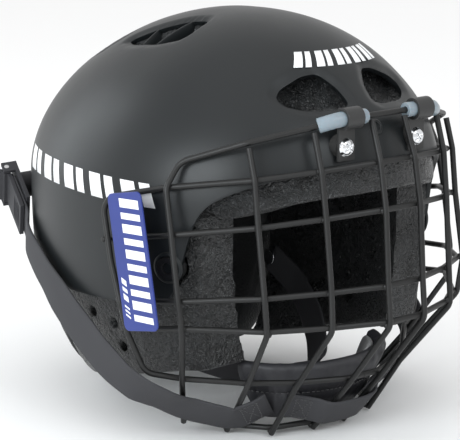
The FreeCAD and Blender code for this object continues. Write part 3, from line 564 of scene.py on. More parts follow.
def repeat_tree(name, along_path):
    """Small rounded bodies set at points, or spaced along a path, turned to face their stored direction.

    Inputs: Spacing, Length, Width, Height, Variation, Seed and Material.
    """
    tree = bpy.data.node_groups.new(name, "GeometryNodeTree")
    tree.interface.new_socket("Geometry", in_out="INPUT", socket_type="NodeSocketGeometry")
    for label, default in (("Spacing", 2.4 * MM), ("Length", 1.6 * MM), ("Width", 0.6 * MM),
                           ("Height", 0.4 * MM), ("Variation", 0.08)):
        socket = tree.interface.new_socket(label, in_out="INPUT", socket_type="NodeSocketFloat")
        socket.default_value = default
    tree.interface.new_socket("Seed", in_out="INPUT", socket_type="NodeSocketInt").default_value = 7
    tree.interface.new_socket("Material", in_out="INPUT", socket_type="NodeSocketMaterial")
    tree.interface.new_socket("Geometry", in_out="OUTPUT", socket_type="NodeSocketGeometry")
    nodes, link = tree.nodes, tree.links.new
    given, result = nodes.new("NodeGroupInput"), nodes.new("NodeGroupOutput")
    spots = given.outputs["Geometry"]
    instance = nodes.new("GeometryNodeInstanceOnPoints")
    if along_path:
        curve = nodes.new("GeometryNodeMeshToCurve")
        resample = nodes.new("GeometryNodeResampleCurve")
        resample.mode = "LENGTH"
        link(spots, curve.inputs["Mesh"])
        link(curve.outputs["Curve"], resample.inputs["Curve"])
        link(given.outputs["Spacing"], resample.inputs["Length"])
        spots = resample.outputs["Curve"]
        forward = nodes.new("GeometryNodeInputTangent").outputs["Tangent"]
    else:
        read = nodes.new("GeometryNodeInputNamedAttribute")
        read.data_type = "FLOAT_VECTOR"
        read.inputs["Name"].default_value = "forward"
        forward = read.outputs["Attribute"]
    upward = nodes.new("GeometryNodeInputNamedAttribute")
    upward.data_type = "FLOAT_VECTOR"
    upward.inputs["Name"].default_value = "facing"
    first = nodes.new("FunctionNodeAlignRotationToVector")
    first.axis = "Z"
    link(upward.outputs["Attribute"], first.inputs["Vector"])
    second = nodes.new("FunctionNodeAlignRotationToVector")
    second.axis, second.pivot_axis = "X", "Z"
    link(first.outputs["Rotation"], second.inputs["Rotation"])
    link(forward, second.inputs["Vector"])
    body = nodes.new("GeometryNodeMeshIcoSphere")
    body.inputs["Radius"].default_value = 0.5
    body.inputs["Subdivisions"].default_value = 2
    smooth = nodes.new("GeometryNodeSetShadeSmooth")
    link(body.outputs["Mesh"], smooth.inputs["Geometry"])
    sizes = nodes.new("ShaderNodeCombineXYZ")
    for axis, label in zip("XYZ", ("Length", "Width", "Height")):
        link(given.outputs[label], sizes.inputs[axis])
    chance = nodes.new("FunctionNodeRandomValue")
    chance.data_type = "FLOAT"
    low = nodes.new("ShaderNodeMath")
    low.operation = "SUBTRACT"
    low.inputs[0].default_value = 1.0
    link(given.outputs["Variation"], low.inputs[1])
    link(low.outputs[0], chance.inputs[2])
    chance.inputs[3].default_value = 1.0
    link(given.outputs["Seed"], chance.inputs["Seed"])
    scale = nodes.new("ShaderNodeVectorMath")
    scale.operation = "SCALE"
    link(sizes.outputs[0], scale.inputs[0])
    link(chance.outputs[1], scale.inputs["Scale"])
    link(spots, instance.inputs["Points"])
    link(smooth.outputs["Geometry"], instance.inputs["Instance"])
    link(second.outputs["Rotation"], instance.inputs["Rotation"])
    link(scale.outputs[0], instance.inputs["Scale"])
    realize, paint = nodes.new("GeometryNodeRealizeInstances"), nodes.new("GeometryNodeSetMaterial")
    link(instance.outputs["Instances"], realize.inputs["Geometry"])
    link(realize.outputs["Geometry"], paint.inputs["Geometry"])
    link(given.outputs["Material"], paint.inputs["Material"])
    link(paint.outputs["Geometry"], result.inputs["Geometry"])
    return tree


def repeated(name, spots, material, body, slot, along_path=False, **inputs):
    """Runs a repeat tree over (position, facing, forward) spots; a path is a list of such spots."""
    tree_name = "Bodies along a path" if along_path else "Bodies at points"
    tree = bpy.data.node_groups.get(tree_name) or repeat_tree(tree_name, along_path)
    paths = spots if along_path else [spots]
    points, edges = [], []
    for path in paths:
        if along_path:
            edges += [(len(points) + i, len(points) + i + 1) for i in range(len(path) - 1)]
        points += path
    mesh = bpy.data.meshes.new(name)
    mesh.from_pydata([tuple(p[0]) for p in points], edges, [])
    for label, index in (("facing", 1), ("forward", 2)):
        layer = mesh.attributes.new(label, "FLOAT_VECTOR", "POINT")
        layer.data.foreach_set("vector", np.array([tuple(p[index]) for p in points], dtype=np.float32).ravel())
    item = bpy.data.objects.new(name, mesh)
    bpy.context.scene.collection.objects.link(item)
    modifier = item.modifiers.new("repeat", "NODES")
    modifier.node_group = tree
    modifier[socket_key(tree, "Material")] = material
    for label, value in inputs.items():
        modifier[socket_key(tree, label.capitalize())] = value
    settle(item)
    if not item.data.polygons:
        raise RuntimeError(f"{name}: the repeat tree made nothing")
    item.data.polygons.foreach_set("use_smooth", [True] * len(item.data.polygons))
    return place_on(item, body, slot)


# ---------------------------------------------------------------- the dome that shell and prints follow

HALF_WIDTH, FRONT_REACH, REAR_REACH, CENTRE_BACK = 111.5, 120.5, 151.0, -3.3
WIDEST_LEVEL, CROWN_HEIGHT, LOWER_DEPTH, PLAN_EXPONENT = 138.0, 103.7, 150.0, 2.11
SIDE_SCREW_ANGLE, SIDE_SCREW_LEVEL = math.radians(61.5), 107.5
CROWN_ARC = 170.0

# The shell's lower edge seen from the side, as (y, z): brow, temple, ear and nape.
SHELL_EDGE = ((-200, 166.5), (-121, 166.5), (-110, 161), (-98, 156), (-89, 151.5), (-79, 145), (-72, 135),
              (-67.5, 120), (-64, 100), (-58, 87), (-40, 83.5), (0, 81), (40, 78.5), (100, 73), (200, 70))

# Vent outlines on the wearer's right: (corners, the axes they are drawn on, where they lie).
FRONT_VENT = ((-9, 198.5), (-10.5, 206), (-17.5, 214), (-28, 213), (-43, 207), (-48, 202.5), (-45.5, 198),
              (-36, 195.5), (-14, 196))
CROWN_VENT = ((-29, -8), (-51, -10), (-57, 8), (-56, 32), (-50, 44), (-41, 26), (-31, 6))
REAR_VENT = ((-26, 56), (-44, 57), (-51, 66), (-51, 78), (-41, 84), (-29, 68))


def dome_points(angle, level, inset=0.0):
    """Points of the dome's wall in millimetres; angle 0 is the front, and inset pulls the wall in."""
    angle, level = np.broadcast_arrays(np.asarray(angle, float), np.asarray(level, float))
    side, ahead = np.sin(angle), np.cos(angle)
    length = np.where(ahead > 0, FRONT_REACH, REAR_REACH) - inset
    reach = (np.abs(side / (HALF_WIDTH - inset)) ** PLAN_EXPONENT
             + np.abs(ahead / length) ** PLAN_EXPONENT) ** (-1 / PLAN_EXPONENT)
    profile = 1.82 + (2.2 - 1.82) * ((1 + ahead) / 2) ** 3
    rise = np.clip((level - WIDEST_LEVEL) / (CROWN_HEIGHT - inset), 0, 1)
    drop = np.clip((WIDEST_LEVEL - level) / LOWER_DEPTH, 0, 0.98)
    factor = np.where(level > WIDEST_LEVEL, (1 - rise ** profile) ** (1 / profile), (1 - drop ** 3) ** (1 / 3))
    brow = np.clip(np.abs(angle) / math.radians(62), 0, 1)
    above = np.clip((level - 186) / 24, 0, 1)
    ridge = 5.0 * np.cos(brow * math.pi / 2) ** 2 * (1 - above ** 2 * (3 - 2 * above))
    reach = reach * factor + ridge
    return np.stack([reach * side, CENTRE_BACK - reach * ahead, level], -1)


def dome_normals(angle, level):
    """The dome's outward directions."""
    around = dome_points(angle + 0.01, level) - dome_points(angle - 0.01, level)
    upward = dome_points(angle, level + 0.4) - dome_points(angle, level - 0.4)
    normal = np.cross(around, upward)
    normal /= np.linalg.norm(normal, axis=-1, keepdims=True)
    outward = dome_points(angle, level) - np.array([0.0, CENTRE_BACK, WIDEST_LEVEL - 20])
    return normal * np.sign(np.sum(normal * outward, -1, keepdims=True))


def dome_from_front(x, z):
    """Points of the dome's front that are seen at (x, z)."""
    angle = np.arcsin(np.clip(x / 112.0, -1, 1))
    for _ in range(40):
        here = dome_points(angle, z)
        reach = np.hypot(here[..., 0], here[..., 1] - CENTRE_BACK)
        angle = 0.5 * angle + 0.5 * np.arcsin(np.clip(x / reach, -1, 1))
    return dome_points(angle, z)


def dome_from_above(x, y):
    """Points of the dome's upper half that are seen at (x, y)."""
    angle = np.arctan2(x, CENTRE_BACK - y)
    wanted = np.hypot(x, y - CENTRE_BACK)
    low, high = np.full_like(wanted, WIDEST_LEVEL), np.full_like(wanted, WIDEST_LEVEL + CROWN_HEIGHT)
    for _ in range(40):
        middle = (low + high) / 2
        here = dome_points(angle, middle)
        outside = np.hypot(here[..., 0], here[..., 1] - CENTRE_BACK) > wanted
        low, high = np.where(outside, middle, low), np.where(outside, high, middle)
    return dome_points(angle, (low + high) / 2)


def rounded_outline(corners, passes=3, share=0.16):
    """An outline with its corners cut again and again."""
    line = np.array(corners, float)
    for _ in range(passes):
        following = np.roll(line, -1, 0)
        line = np.stack([(1 - share) * line + share * following, share * line + (1 - share) * following],
                        1).reshape(-1, 2)
    return line


def to_outline(points, line):
    """Distance to a closed outline, negative inside, and the nearest place on it."""
    start, run = line, np.roll(line, -1, 0) - line
    offset = points[:, None] - start[None]
    share = np.clip(np.sum(offset * run, -1) / np.sum(run * run, -1), 0, 1)
    nearest = start + share[..., None] * run
    gaps = np.linalg.norm(points[:, None] - nearest, axis=-1)
    best = gaps.argmin(1)
    rows = np.arange(len(points))
    ahead_of = (line[None, :, 1] > points[:, None, 1]) != (np.roll(line, -1, 0)[None, :, 1] > points[:, None, 1])
    with np.errstate(divide="ignore", invalid="ignore"):
        crossing = start[None, :, 0] + (points[:, None, 1] - start[None, :, 1]) / run[None, :, 1] * run[None, :, 0]
    inside = np.sum(ahead_of & (points[:, None, 0] < crossing), 1) % 2 == 1
    return np.where(inside, -1, 1) * gaps[rows, best], nearest[rows, best]


def lower_edge(angles):
    """The level of the shell's lower edge in each direction, its corners eased."""
    y, z = np.array(SHELL_EDGE, float).T
    level = np.full_like(angles, 110.0)
    for _ in range(60):
        here = dome_points(angles, level)[:, 1]
        eased = np.mean([np.interp(here + shift, y, z) for shift in (-4, -2, 0, 2, 4)], 0)
        level = 0.6 * level + 0.4 * eased
    return level


def arc_level(arc):
    """The level at an arc length above (or a drop below) the widest ring."""
    return np.where(arc < 0, WIDEST_LEVEL + arc, WIDEST_LEVEL + CROWN_HEIGHT * np.sin(arc / CROWN_ARC * math.pi / 2))


def shell_surface(settings):
    """The shell's outer face as (vertices, faces) in millimetres, with vents opened and their lips dipped."""
    columns, rows = settings.columns, settings.rows
    angles = np.arange(columns) / columns * 2 * math.pi
    angles = np.where(angles > math.pi, angles - 2 * math.pi, angles)
    edge = lower_edge(angles)
    low_arc = np.where(edge < WIDEST_LEVEL, edge - WIDEST_LEVEL,
                       np.arcsin(np.clip((edge - WIDEST_LEVEL) / CROWN_HEIGHT, 0, 1)) * CROWN_ARC * 2 / math.pi)
    share = np.linspace(0, 0.992, rows)[:, None]
    arcs = low_arc[None] + (CROWN_ARC - low_arc[None]) * share
    level = arc_level(arcs)
    angle_grid = np.broadcast_to(angles, level.shape)
    grid = dome_points(angle_grid, level)
    normals = dome_normals(angle_grid, level)
    quads = []
    index = np.arange(rows * columns).reshape(rows, columns)
    quads = np.stack([index[:-1], np.roll(index, -1, 1)[:-1], np.roll(index, -1, 1)[1:], index[1:]], -1).reshape(-1, 4)
    points = grid.reshape(-1, 3).copy()
    dip = np.zeros(len(points))
    keep = np.ones(len(quads), bool)
    for corners, axes, project, lies in (
        (FRONT_VENT, (0, 2), dome_from_front, lambda p: p[:, 1] < -50),
        (CROWN_VENT, (0, 1), dome_from_above, lambda p: p[:, 2] > 190),
        (REAR_VENT, (0, 1), dome_from_above, lambda p: p[:, 2] > 190),
    ):
        for mirror in (1, -1):
            line = rounded_outline(corners) * (mirror, 1)
            near = lies(points)
            gap = np.full(len(points), 1e3)
            place = np.zeros((len(points), 2))
            gap[near], place[near] = to_outline(points[near][:, axes], line)
            middles = points[quads].mean(1)
            near_quads = lies(middles)
            middle_gap = np.full(len(quads), 1e3)
            middle_gap[near_quads] = to_outline(middles[near_quads][:, axes], line)[0]
            removed = middle_gap < 0
            keep &= ~removed
            on_edge = np.zeros(len(points), bool)
            on_edge[quads[removed].ravel()] = True
            still = np.zeros(len(points), bool)
            still[quads[~removed].ravel()] = True
            on_edge &= still
            points[on_edge] = project(place[on_edge][:, 0], place[on_edge][:, 1])
            easing = (np.abs(gap) < 9) & ~on_edge & still
            shaped = points.reshape(rows, columns, 3)
            for _ in range(6):
                around = (np.roll(shaped, 1, 1) + np.roll(shaped, -1, 1))
                around[1:-1] += shaped[2:] + shaped[:-2]
                around[1:-1] /= 4
                mask = easing.reshape(rows, columns).copy()
                mask[0] = mask[-1] = False
                shaped[mask] = 0.5 * shaped[mask] + 0.5 * around[mask]
            points = shaped.reshape(-1, 3)
            gap[on_edge] = 0
            lip = np.clip(gap / (settings.lip_width / MM), 0, 1)
            dip = np.maximum(dip, (settings.lip_depth / MM) * (1 - lip) ** 2 * (1 + 2 * lip))
    points = points - normals.reshape(-1, 3) * dip[:, None]
    crown = len(points)
    points = np.vstack([points, [0, CENTRE_BACK, WIDEST_LEVEL + CROWN_HEIGHT]])
    faces = [tuple(q) for q in quads[keep]]
    last = index[-1]
    faces += [(last[i], last[(i + 1) % columns], crown) for i in range(columns)]
    used = np.zeros(len(points), bool)
    used[[i for face in faces for i in face]] = True
    renumber = np.cumsum(used) - 1
    return points[used], [tuple(renumber[list(face)]) for face in faces]


def patch_on_dome(corner_angles, corner_levels, inset, across=14, up=5):
    """A four-cornered patch of the dome, bottom edge first, as (vertices in metres, faces)."""
    s, t = np.meshgrid(np.linspace(0, 1, across), np.linspace(0, 1, up))

    def spread(c):
        return (c[0] * (1 - s) + c[1] * s) * (1 - t) + (c[3] * (1 - s) + c[2] * s) * t

    points = dome_points(spread(corner_angles), spread(corner_levels), inset).reshape(-1, 3) * MM
    index = np.arange(across * up).reshape(up, across)
    faces = np.stack([index[:-1, :-1], index[:-1, 1:], index[1:, 1:], index[1:, :-1]], -1).reshape(-1, 4)
    return points, faces


def printed_bars(name, start, end, height, cells, lean, material):
    """Slanted bars printed on the dome from one (angle, level) to another."""
    points, faces = [], []
    for place, width in cells:
        angles, levels = [], []
        for s, up in ((place, 0), (place + width, 0), (place + width, 1), (place, 1)):
            s = s + lean * (up - 0.5)
            angles.append(math.radians(start[0] + (end[0] - start[0]) * s))
            levels.append(start[1] + (end[1] - start[1]) * s + height * (up - 0.5))
        patch, quads = patch_on_dome(angles, levels, -0.14)
        faces += [tuple(int(i) + len(points) for i in q) for q in quads]
        points += list(patch)
    item = mesh_piece(name, points, faces, material)
    face_outwards_from(item, Vector((0, 0, 0.12)))
    solid = item.modifiers.new("film", "SOLIDIFY")
    solid.thickness, solid.offset = 0.12 * MM, -1
    return settle(item)


def face_outwards_from(item, middle):
    """Turns an open surface's faces so that they look away from a point inside."""
    mesh = item.data
    total = sum((p.center - middle).dot(p.normal) * p.area for p in mesh.polygons)
    if total < 0:
        mesh.flip_normals()
    return item


# ---------------------------------------------------------------- foam pads


def sink_under_vent(mesh, corners, axes, depth=7.5 * MM):
    """Moulds hollows into a pad's outer face under a pair of vents."""
    points = np.array([v.co for v in mesh.vertices]) / MM
    outward = np.array([v.normal for v in mesh.vertices])
    away = points - np.array([0, CENTRE_BACK, 118.0])
    outer = np.sum(outward * away, 1) / np.linalg.norm(away, axis=1) > 0.45
    for mirror in (1, -1):
        near = outer & (np.sign(points[:, 0]) == -mirror)
        gap = to_outline(points[near][:, axes], rounded_outline(corners) * (mirror, 1))[0]
        sunk = np.clip((3.5 - gap) / 7.0, 0, 1)
        sunk = sunk * sunk * (3 - 2 * sunk) * depth
        for index, amount in zip(np.flatnonzero(near), sunk):
            mesh.vertices[index].co -= Vector(away[index]).normalized() * float(amount)
    mesh.update()


def foam_pad(node, name, material, body="helmet", ease=8, grain=None, vent=None):
    """A foam pad grown from its CAD solid: fine even mesh, eased edges and dents pressed inwards."""
    settings = settings_of("helmet_foam")
    item = copied(node, name, material)
    grain = grain or settings.grain
    remesh = item.modifiers.new("even mesh", "REMESH")
    remesh.mode, remesh.voxel_size, remesh.use_smooth_shade = "VOXEL", grain, True
    soft = item.modifiers.new("eased edges", "SMOOTH")
    soft.factor, soft.iterations = 0.5, ease
    settle(item)
    mesh = item.data
    if vent:
        sink_under_vent(mesh, *vent)
    depth = settings.dent_depth
    normals = [v.normal.copy() for v in mesh.vertices]
    for vertex, normal in zip(mesh.vertices, normals):
        place = vertex.co / MM
        broad = 0.5 + 0.5 * noise.noise(place / 13.0)
        fine = 0.5 + 0.5 * noise.noise(place / 3.6 + Vector((5, 9, 2)))
        vertex.co -= normal * depth * (0.15 + 0.45 * broad + 0.4 * fine)
    mesh.update()
    mesh.materials.clear()
    mesh.materials.append(material)
    mesh.polygons.foreach_set("use_smooth", [True] * len(mesh.polygons))
    place_on(item, body, "liner_foam", node)
    return item


# ---------------------------------------------------------------- straps

BUCKLE_POINT = Vector((-86.0, 111.5, 116.0))
BUCKLE_OUT = Vector((-0.93, 0.35, -0.1)).normalized()
BUCKLE_DOWN = Vector((-0.29, -0.80, -0.52))
BUCKLE_DOWN = (BUCKLE_DOWN - BUCKLE_OUT * BUCKLE_DOWN.dot(BUCKLE_OUT)).normalized()
BUCKLE_ACROSS = BUCKLE_OUT.cross(BUCKLE_DOWN)


def buckle_spot(down, across, out):
    """A point near the right buckle, in the buckle's own directions and millimetres."""
    return BUCKLE_POINT + BUCKLE_DOWN * down + BUCKLE_ACROSS * across + BUCKLE_OUT * out


# Stations along each strap's middle: (point, outward direction), in millimetres.
SIDE_STRAP = (
    (tuple(buckle_spot(-11, 0, 0)), tuple(BUCKLE_OUT)),
    (tuple(buckle_spot(18.5, 0, 0)), tuple(BUCKLE_OUT)),
    ((-98.5, 83.5, 98), (-0.95, 0.3, -0.1)),
    ((-108, 53.3, 85), (-0.98, 0.15, -0.1)),
    ((-113.5, 27.6, 73), (-1, 0.05, 0)),
    ((-115.5, 8, 62.5), (-1, 0, 0)),
    ((-116, -17.6, 48.6), (-1, 0, -0.05)),
    ((-112.5, -37.5, 37.5), (-0.93, -0.15, -0.3)),
    ((-101, -47.5, 29.5), (-0.75, -0.35, -0.55)),
    ((-83, -51.5, 20.5), (-0.62, -0.47, -0.62)),
    ((-68, -60.5, 15), (-0.55, -0.5, -0.66)),
    ((-58.8, -66, 12.5), (-0.5, -0.5, -0.7)),
    ((-49, -73, 17), (-0.35, -0.6, -0.74)),
    ((-42, -77, 21), (-0.35, -0.65, -0.7)),
)
CENTRE_HALF = (
    ((-34, -84, 20), (-0.4, -0.7, -0.6)),
    ((-22, -93, 17), (-0.5, -0.7, -0.6)),
    ((-12.5, -98.6, 14.5), (-0.15, -0.76, -0.65)),
)
RIGHT_CHIN_STRAP = (
    ((-69, 48, 68), (-1, 0, 0)),
    ((-69, 22, 53), (-0.95, -0.2, -0.2)),
    ((-52, -12, 38), (-0.7, -0.5, -0.5)),
    ((-28, -42, 27), (-0.5, -0.6, -0.6)),
    ((-4, -57.5, 24), (-0.1, -0.7, -0.7)),
    ((12, -59, 24), (0, -0.7, -0.7)),
)


def other_side(stations, reverse=False):
    """The same stations on the wearer's left."""
    turned_over = [((-p[0], p[1], p[2]), (-o[0], o[1], o[2])) for p, o in stations]
    return list(reversed(turned_over)) if reverse else turned_over


LEFT_CHIN_STRAP = (*other_side(RIGHT_CHIN_STRAP[:4]), ((10, -53.3, 26.6), (0.1, -0.7, -0.7)),
                   ((-8, -54.3, 27.6), (0, -0.7, -0.7)))


def strap_line(stations, step=1.7):
    """Evenly spaced (middle, outward, ahead) frames along a smooth line through the stations, in millimetres."""
    points = [Vector(p) for p, _ in stations]
    outs = [Vector(o).normalized() for _, o in stations]
    points = [points[0] * 2 - points[1], *points, points[-1] * 2 - points[-2]]
    outs = [outs[0], *outs, outs[-1]]
    dense = []
    for i in range(1, len(points) - 2):
        a, b, c, d = points[i - 1:i + 3]
        count = max(int((c - b).length / 0.5), 2)
        for k in range(count):
            t = k / count
            place = 0.5 * ((2 * b) + (c - a) * t + (2 * a - 5 * b + 4 * c - d) * t ** 2
                           + (3 * b - a - 3 * c + d) * t ** 3)
            dense.append((place, outs[i].lerp(outs[i + 1], t * t * (3 - 2 * t))))
    dense.append((points[-2], outs[-2]))
    frames, travelled, wanted = [], 0.0, 0.0
    for i, (place, out) in enumerate(dense):
        if i:
            travelled += (place - dense[i - 1][0]).length
        if travelled >= wanted or i == len(dense) - 1:
            ahead = (dense[min(i + 1, len(dense) - 1)][0] - dense[max(i - 1, 0)][0]).normalized()
            facing = (out - ahead * out.dot(ahead)).normalized()
            frames.append((place, facing, ahead, travelled))
            wanted += step
    return frames


def strap_section(width, thickness):
    """The cross-section of webbing as (across, out) pairs: flat faces, soft selvedges."""
    half, low = width / 2, thickness / 2
    top = [(x, low + 0.12 * (1 - (x / half) ** 2)) for x in np.linspace(-half + 0.55, half - 0.55, 13)]
    edge = [(half - 0.16, low * 0.62), (half, 0.0), (half - 0.16, -low * 0.62)]
    bottom = [(x, -low) for x in np.linspace(half - 0.55, -half + 0.55, 13)]
    return top + edge + bottom + [(-x, -h) for x, h in edge]


def strap_piece(name, stations, width, material, thickness=1.6, ripple=0.35):
    """Woven webbing as a closed band with its own UV map along and across, in metres."""
    section = strap_section(width, thickness)
    frames = strap_line(stations)
    points, uvs, faces = [], [], []
    for place, facing, ahead, travelled in frames:
        across = ahead.cross(facing)
        wave = ripple * noise.noise(Vector((travelled / 27.0, width, 3.1)))
        for x, h in section:
            cup = 0.25 * noise.noise(Vector((travelled / 19.0, x / 11.0, 8.4)))
            points.append((place + across * x + facing * (h + wave + cup)) * MM)
            uvs.append((travelled * MM, x * MM))
    around = len(section)
    for row in range(len(frames) - 1):
        for k in range(around):
            a, b = row * around + k, row * around + (k + 1) % around
            faces.append((a, b, b + around, a + around))
    faces.append(tuple(range(around)))
    faces.append(tuple(reversed(range(len(points) - around, len(points)))))
    return face_outwards(mesh_piece(name, points, faces, material, uvs))


def tack_paths(stations, width, spots, length=9.0, lift=0.95):
    """Box-and-cross stitching on a strap at given distances along it, as paths for stitches."""
    frames = strap_line(stations, 0.8)
    total = frames[-1][3]
    paths = []

    def on_strap(travelled, x):
        frame_here = min(frames, key=lambda f: abs(f[3] - travelled))
        place, facing, ahead, _ = frame_here
        across = ahead.cross(facing)
        return (place + across * x + facing * lift) * MM, facing, ahead

    for spot in spots:
        start = spot if spot >= 0 else total + spot
        half = width / 2 - 2.4
        corners = [(start, -half), (start + length, -half), (start + length, half), (start, half), (start, -half),
                   (start + length, half), (start, half), (start + length, -half)]
        path = []
        for (s0, x0), (s1, x1) in zip(corners, corners[1:]):
            steps = max(int(max(abs(s1 - s0), abs(x1 - x0)) / 1.2), 1)
            for k in range(steps):
                t = k / steps
                path.append(on_strap(s0 + (s1 - s0) * t, x0 + (x1 - x0) * t))
        paths.append(path)
    return paths


# ---------------------------------------------------------------- chin cup

CUP_CENTRE_Y = -57.0
CUP_LEVELS = ((8.0, 36.0, 25.0), (24.0, 47.0, 37.0), (45.0, 55.0, 44.0))


def cup_size(level):
    """Half-width and depth of the chin cup's plan at a level."""
    levels, widths, depths = np.array(CUP_LEVELS).T
    widths_fit, depths_fit = np.polyfit(levels, widths, 2), np.polyfit(levels, depths, 2)
    return np.polyval(widths_fit, level), np.polyval(depths_fit, level)


def cup_ring(level, inset, angle):
    """A point of the cup's wall: angle 0 is the front."""
    half_width, depth = cup_size(level)
    return Vector(((half_width - inset) * math.sin(angle), CUP_CENTRE_Y - (depth - inset) * math.cos(angle), level))


def cup_piece(name, profile, material, sweep=84.0, columns=120, wrinkle=0.0):
    """A padded bowl: a closed (level, inset) profile carried round the front of the cup, its ends tucked in."""
    points, faces = [], []
    count = len(profile)
    middle = (sum(p[0] for p in profile) / count, sum(p[1] for p in profile) / count)
    for column in range(columns + 1):
        along = column / columns * 2 - 1
        angle = math.radians(sweep) * along
        closing = max(0.0, (abs(along) - 0.93) / 0.07)
        shrink = math.sqrt(max(1 - closing ** 2, 0.0025))
        for level, inset in profile:
            here = middle[0] + (level - middle[0]) * (0.35 + 0.65 * shrink) if closing else level
            deep = middle[1] + (inset - middle[1]) * shrink
            place = cup_ring(here, deep, angle)
            if wrinkle:
                outward = Vector((math.sin(angle), -math.cos(angle), 0.1)).normalized()
                fold = noise.noise(Vector((angle * 9.0, here / 15.0, 1.7))) + 0.6 * noise.noise(
                    Vector((angle * 24.0, here / 9.0, 6.2)))
                place += outward * (fold * wrinkle - 0.35 * wrinkle)
            points.append(place * MM)
    for row in range(columns):
        for k in range(count):
            a, b = row * count + k, row * count + (k + 1) % count
            faces.append((a, b, b + count, a + count))
    faces.append(tuple(range(count)))
    faces.append(tuple(reversed(range(len(points) - count, len(points)))))
    return face_outwards(mesh_piece(name, points, faces, material))


def closed_profile(corners):
    """A smooth closed profile through corners, evenly divided for bending."""
    line = rounded_outline(corners, 2, 0.22)
    out = []
    for a, b in zip(line, np.roll(line, -1, 0)):
        steps = max(int(np.linalg.norm(b - a) / 1.6), 1)
        out += [tuple(a + (b - a) * k / steps) for k in range(steps)]
    return out


# ---------------------------------------------------------------- reading places from the CAD model


def node_points(node):
    """A CAD node's vertices, in metres."""
    mesh = NODES[node].data
    points = np.empty(len(mesh.vertices) * 3, np.float32)
    mesh.vertices.foreach_get("co", points)
    return points.reshape(-1, 3).astype(float)


def crossing(first, second, side=0):
    """Where two wires come closest, on one side of the cage: (middle, direction from first to second)."""
    a, b = node_points(first), node_points(second)
    if side:
        a, b = a[a[:, 0] * side > 0], b[b[:, 0] * side > 0]
    tree = KDTree(len(a))
    for number, point in enumerate(a):
        tree.insert(point, number)
    tree.balance()
    best = min(((tree.find(point), point) for point in b), key=lambda found: found[0][2])
    (near, _, gap), point = best
    near_a = a[np.linalg.norm(a - np.array(near), axis=1) < 4.5 * MM].mean(0)
    near_b = b[np.linalg.norm(b - point, axis=1) < 4.5 * MM].mean(0)
    direction = Vector(near_b - near_a)
    direction = direction.normalized() if direction.length > 1e-6 else Vector((0, -1, 0))
    return (Vector(near) + Vector(point)) / 2, direction, gap


def rod_end(node, towards):
    """The middle of a rod's end face in a direction, and the way the rod points there."""
    points = node_points(node)
    reach = points @ np.array(Vector(towards).normalized())
    tip = points[reach > reach.max() - 1.2 * MM].mean(0)
    near = points[np.linalg.norm(points - tip, axis=1) < 14 * MM].mean(0)
    heading = Vector(tip - near).normalized()
    along = (points - near) @ np.array(heading)
    local = np.linalg.norm(points - tip, axis=1) < 8 * MM
    last = points[local & (along > along[local].max() - 0.25 * MM)].mean(0)
    return Vector(last), heading


# ---------------------------------------------------------------- operators


class BuildShell(bpy.types.Operator):
    """Moulds the outer shell with its vents, ribs and centre eyelet"""

    bl_idname = "helmet.build_shell"
    bl_label = "Outer shell"

    def execute(self, context):
        settings = settings_of("helmet_shell")
        material = shared("satin_shell", satin_shell, settings)
        points, faces = shell_surface(settings)
        shell = mesh_piece("shell", points * MM, faces, material)
        face_outwards_from(shell, Vector((0, 0, 0.1)))
        wall = shell.modifiers.new("wall", "SOLIDIFY")
        wall.thickness, wall.offset = settings.wall, -1
        rim = shell.modifiers.new("rim", "BEVEL")
        rim.width, rim.segments, rim.limit_method, rim.angle_limit = 0.8 * MM, 2, "ANGLE", math.radians(50)
        place_on(settle(shell), "helmet", "shell_black", "outer_shell")
        for side, name in zip((1, -1), SIDES):
            ribs, quads = [], []
            for low, high in (((-30.5, 6), (-56, 9)), ((-40, 27), (-57, 22))):
                path = np.array([np.array(low) + (np.array(high) - low) * t for t in np.linspace(0, 1, 9)])
                top = dome_from_above(path[:, 0], path[:, 1])
                inward = np.array([0, 10, 120]) - top
                inward /= np.linalg.norm(inward, axis=1, keepdims=True)
                run = np.append(np.array(high) - low, 0) / np.linalg.norm(np.array(high) - low)
                beside = np.cross(inward, run)
                start = len(ribs)
                for place, inn, out in zip(top, inward, beside):
                    ribs += [place + inn * d + out * w
                             for d, w in ((1.8, 0.5), (1.8, -0.5), (9.5, -1.0), (9.5, 1.0))]
                for k in range(len(top) - 1):
                    a = start + k * 4
                    quads += [(a + i, a + (i + 1) % 4, a + 4 + (i + 1) % 4, a + 4 + i) for i in range(4)]
                quads += [tuple(start + i for i in range(4)), tuple(len(ribs) - 1 - i for i in range(4))]
            piece = mesh_piece(f"{name}_vent_ribs", np.array(ribs) * (side, 1, 1) * MM, quads, material)
            face_outwards(piece)
            soft = piece.modifiers.new("soft", "BEVEL")
            soft.width, soft.segments = 0.35 * MM, 2
            place_on(settle(piece), "helmet", "shell_black")
        centre = dome_points(0.0, 184.5) * MM
        facing = dome_normals(0.0, 184.5)
        eyelet = turned("centre_eyelet", [(0.1 * MM, -2.4 * MM), (2.3 * MM, -2.2 * MM), (2.5 * MM, 0.3 * MM),
                                          (2.9 * MM, 0.7 * MM), (3.6 * MM, 0.8 * MM), (4.5 * MM, 0.35 * MM),
                                          (4.8 * MM, -0.2 * MM), (4.8 * MM, -2.6 * MM)],
                        centre, facing, material)
        place_on(eyelet, "helmet", "shell_black")
        # A nearly black plug set in the eyelet's recess as painted shade inside the hole.
        hole = turned("eyelet_hole", [(2.42 * MM, -1.6 * MM), (2.42 * MM, -0.9 * MM), (0.1 * MM, -1.3 * MM)],
                      centre, facing, shared("dark_recess", dark_recess))
        place_on(hole, "helmet", "shell_black")
        return {"FINISHED"}


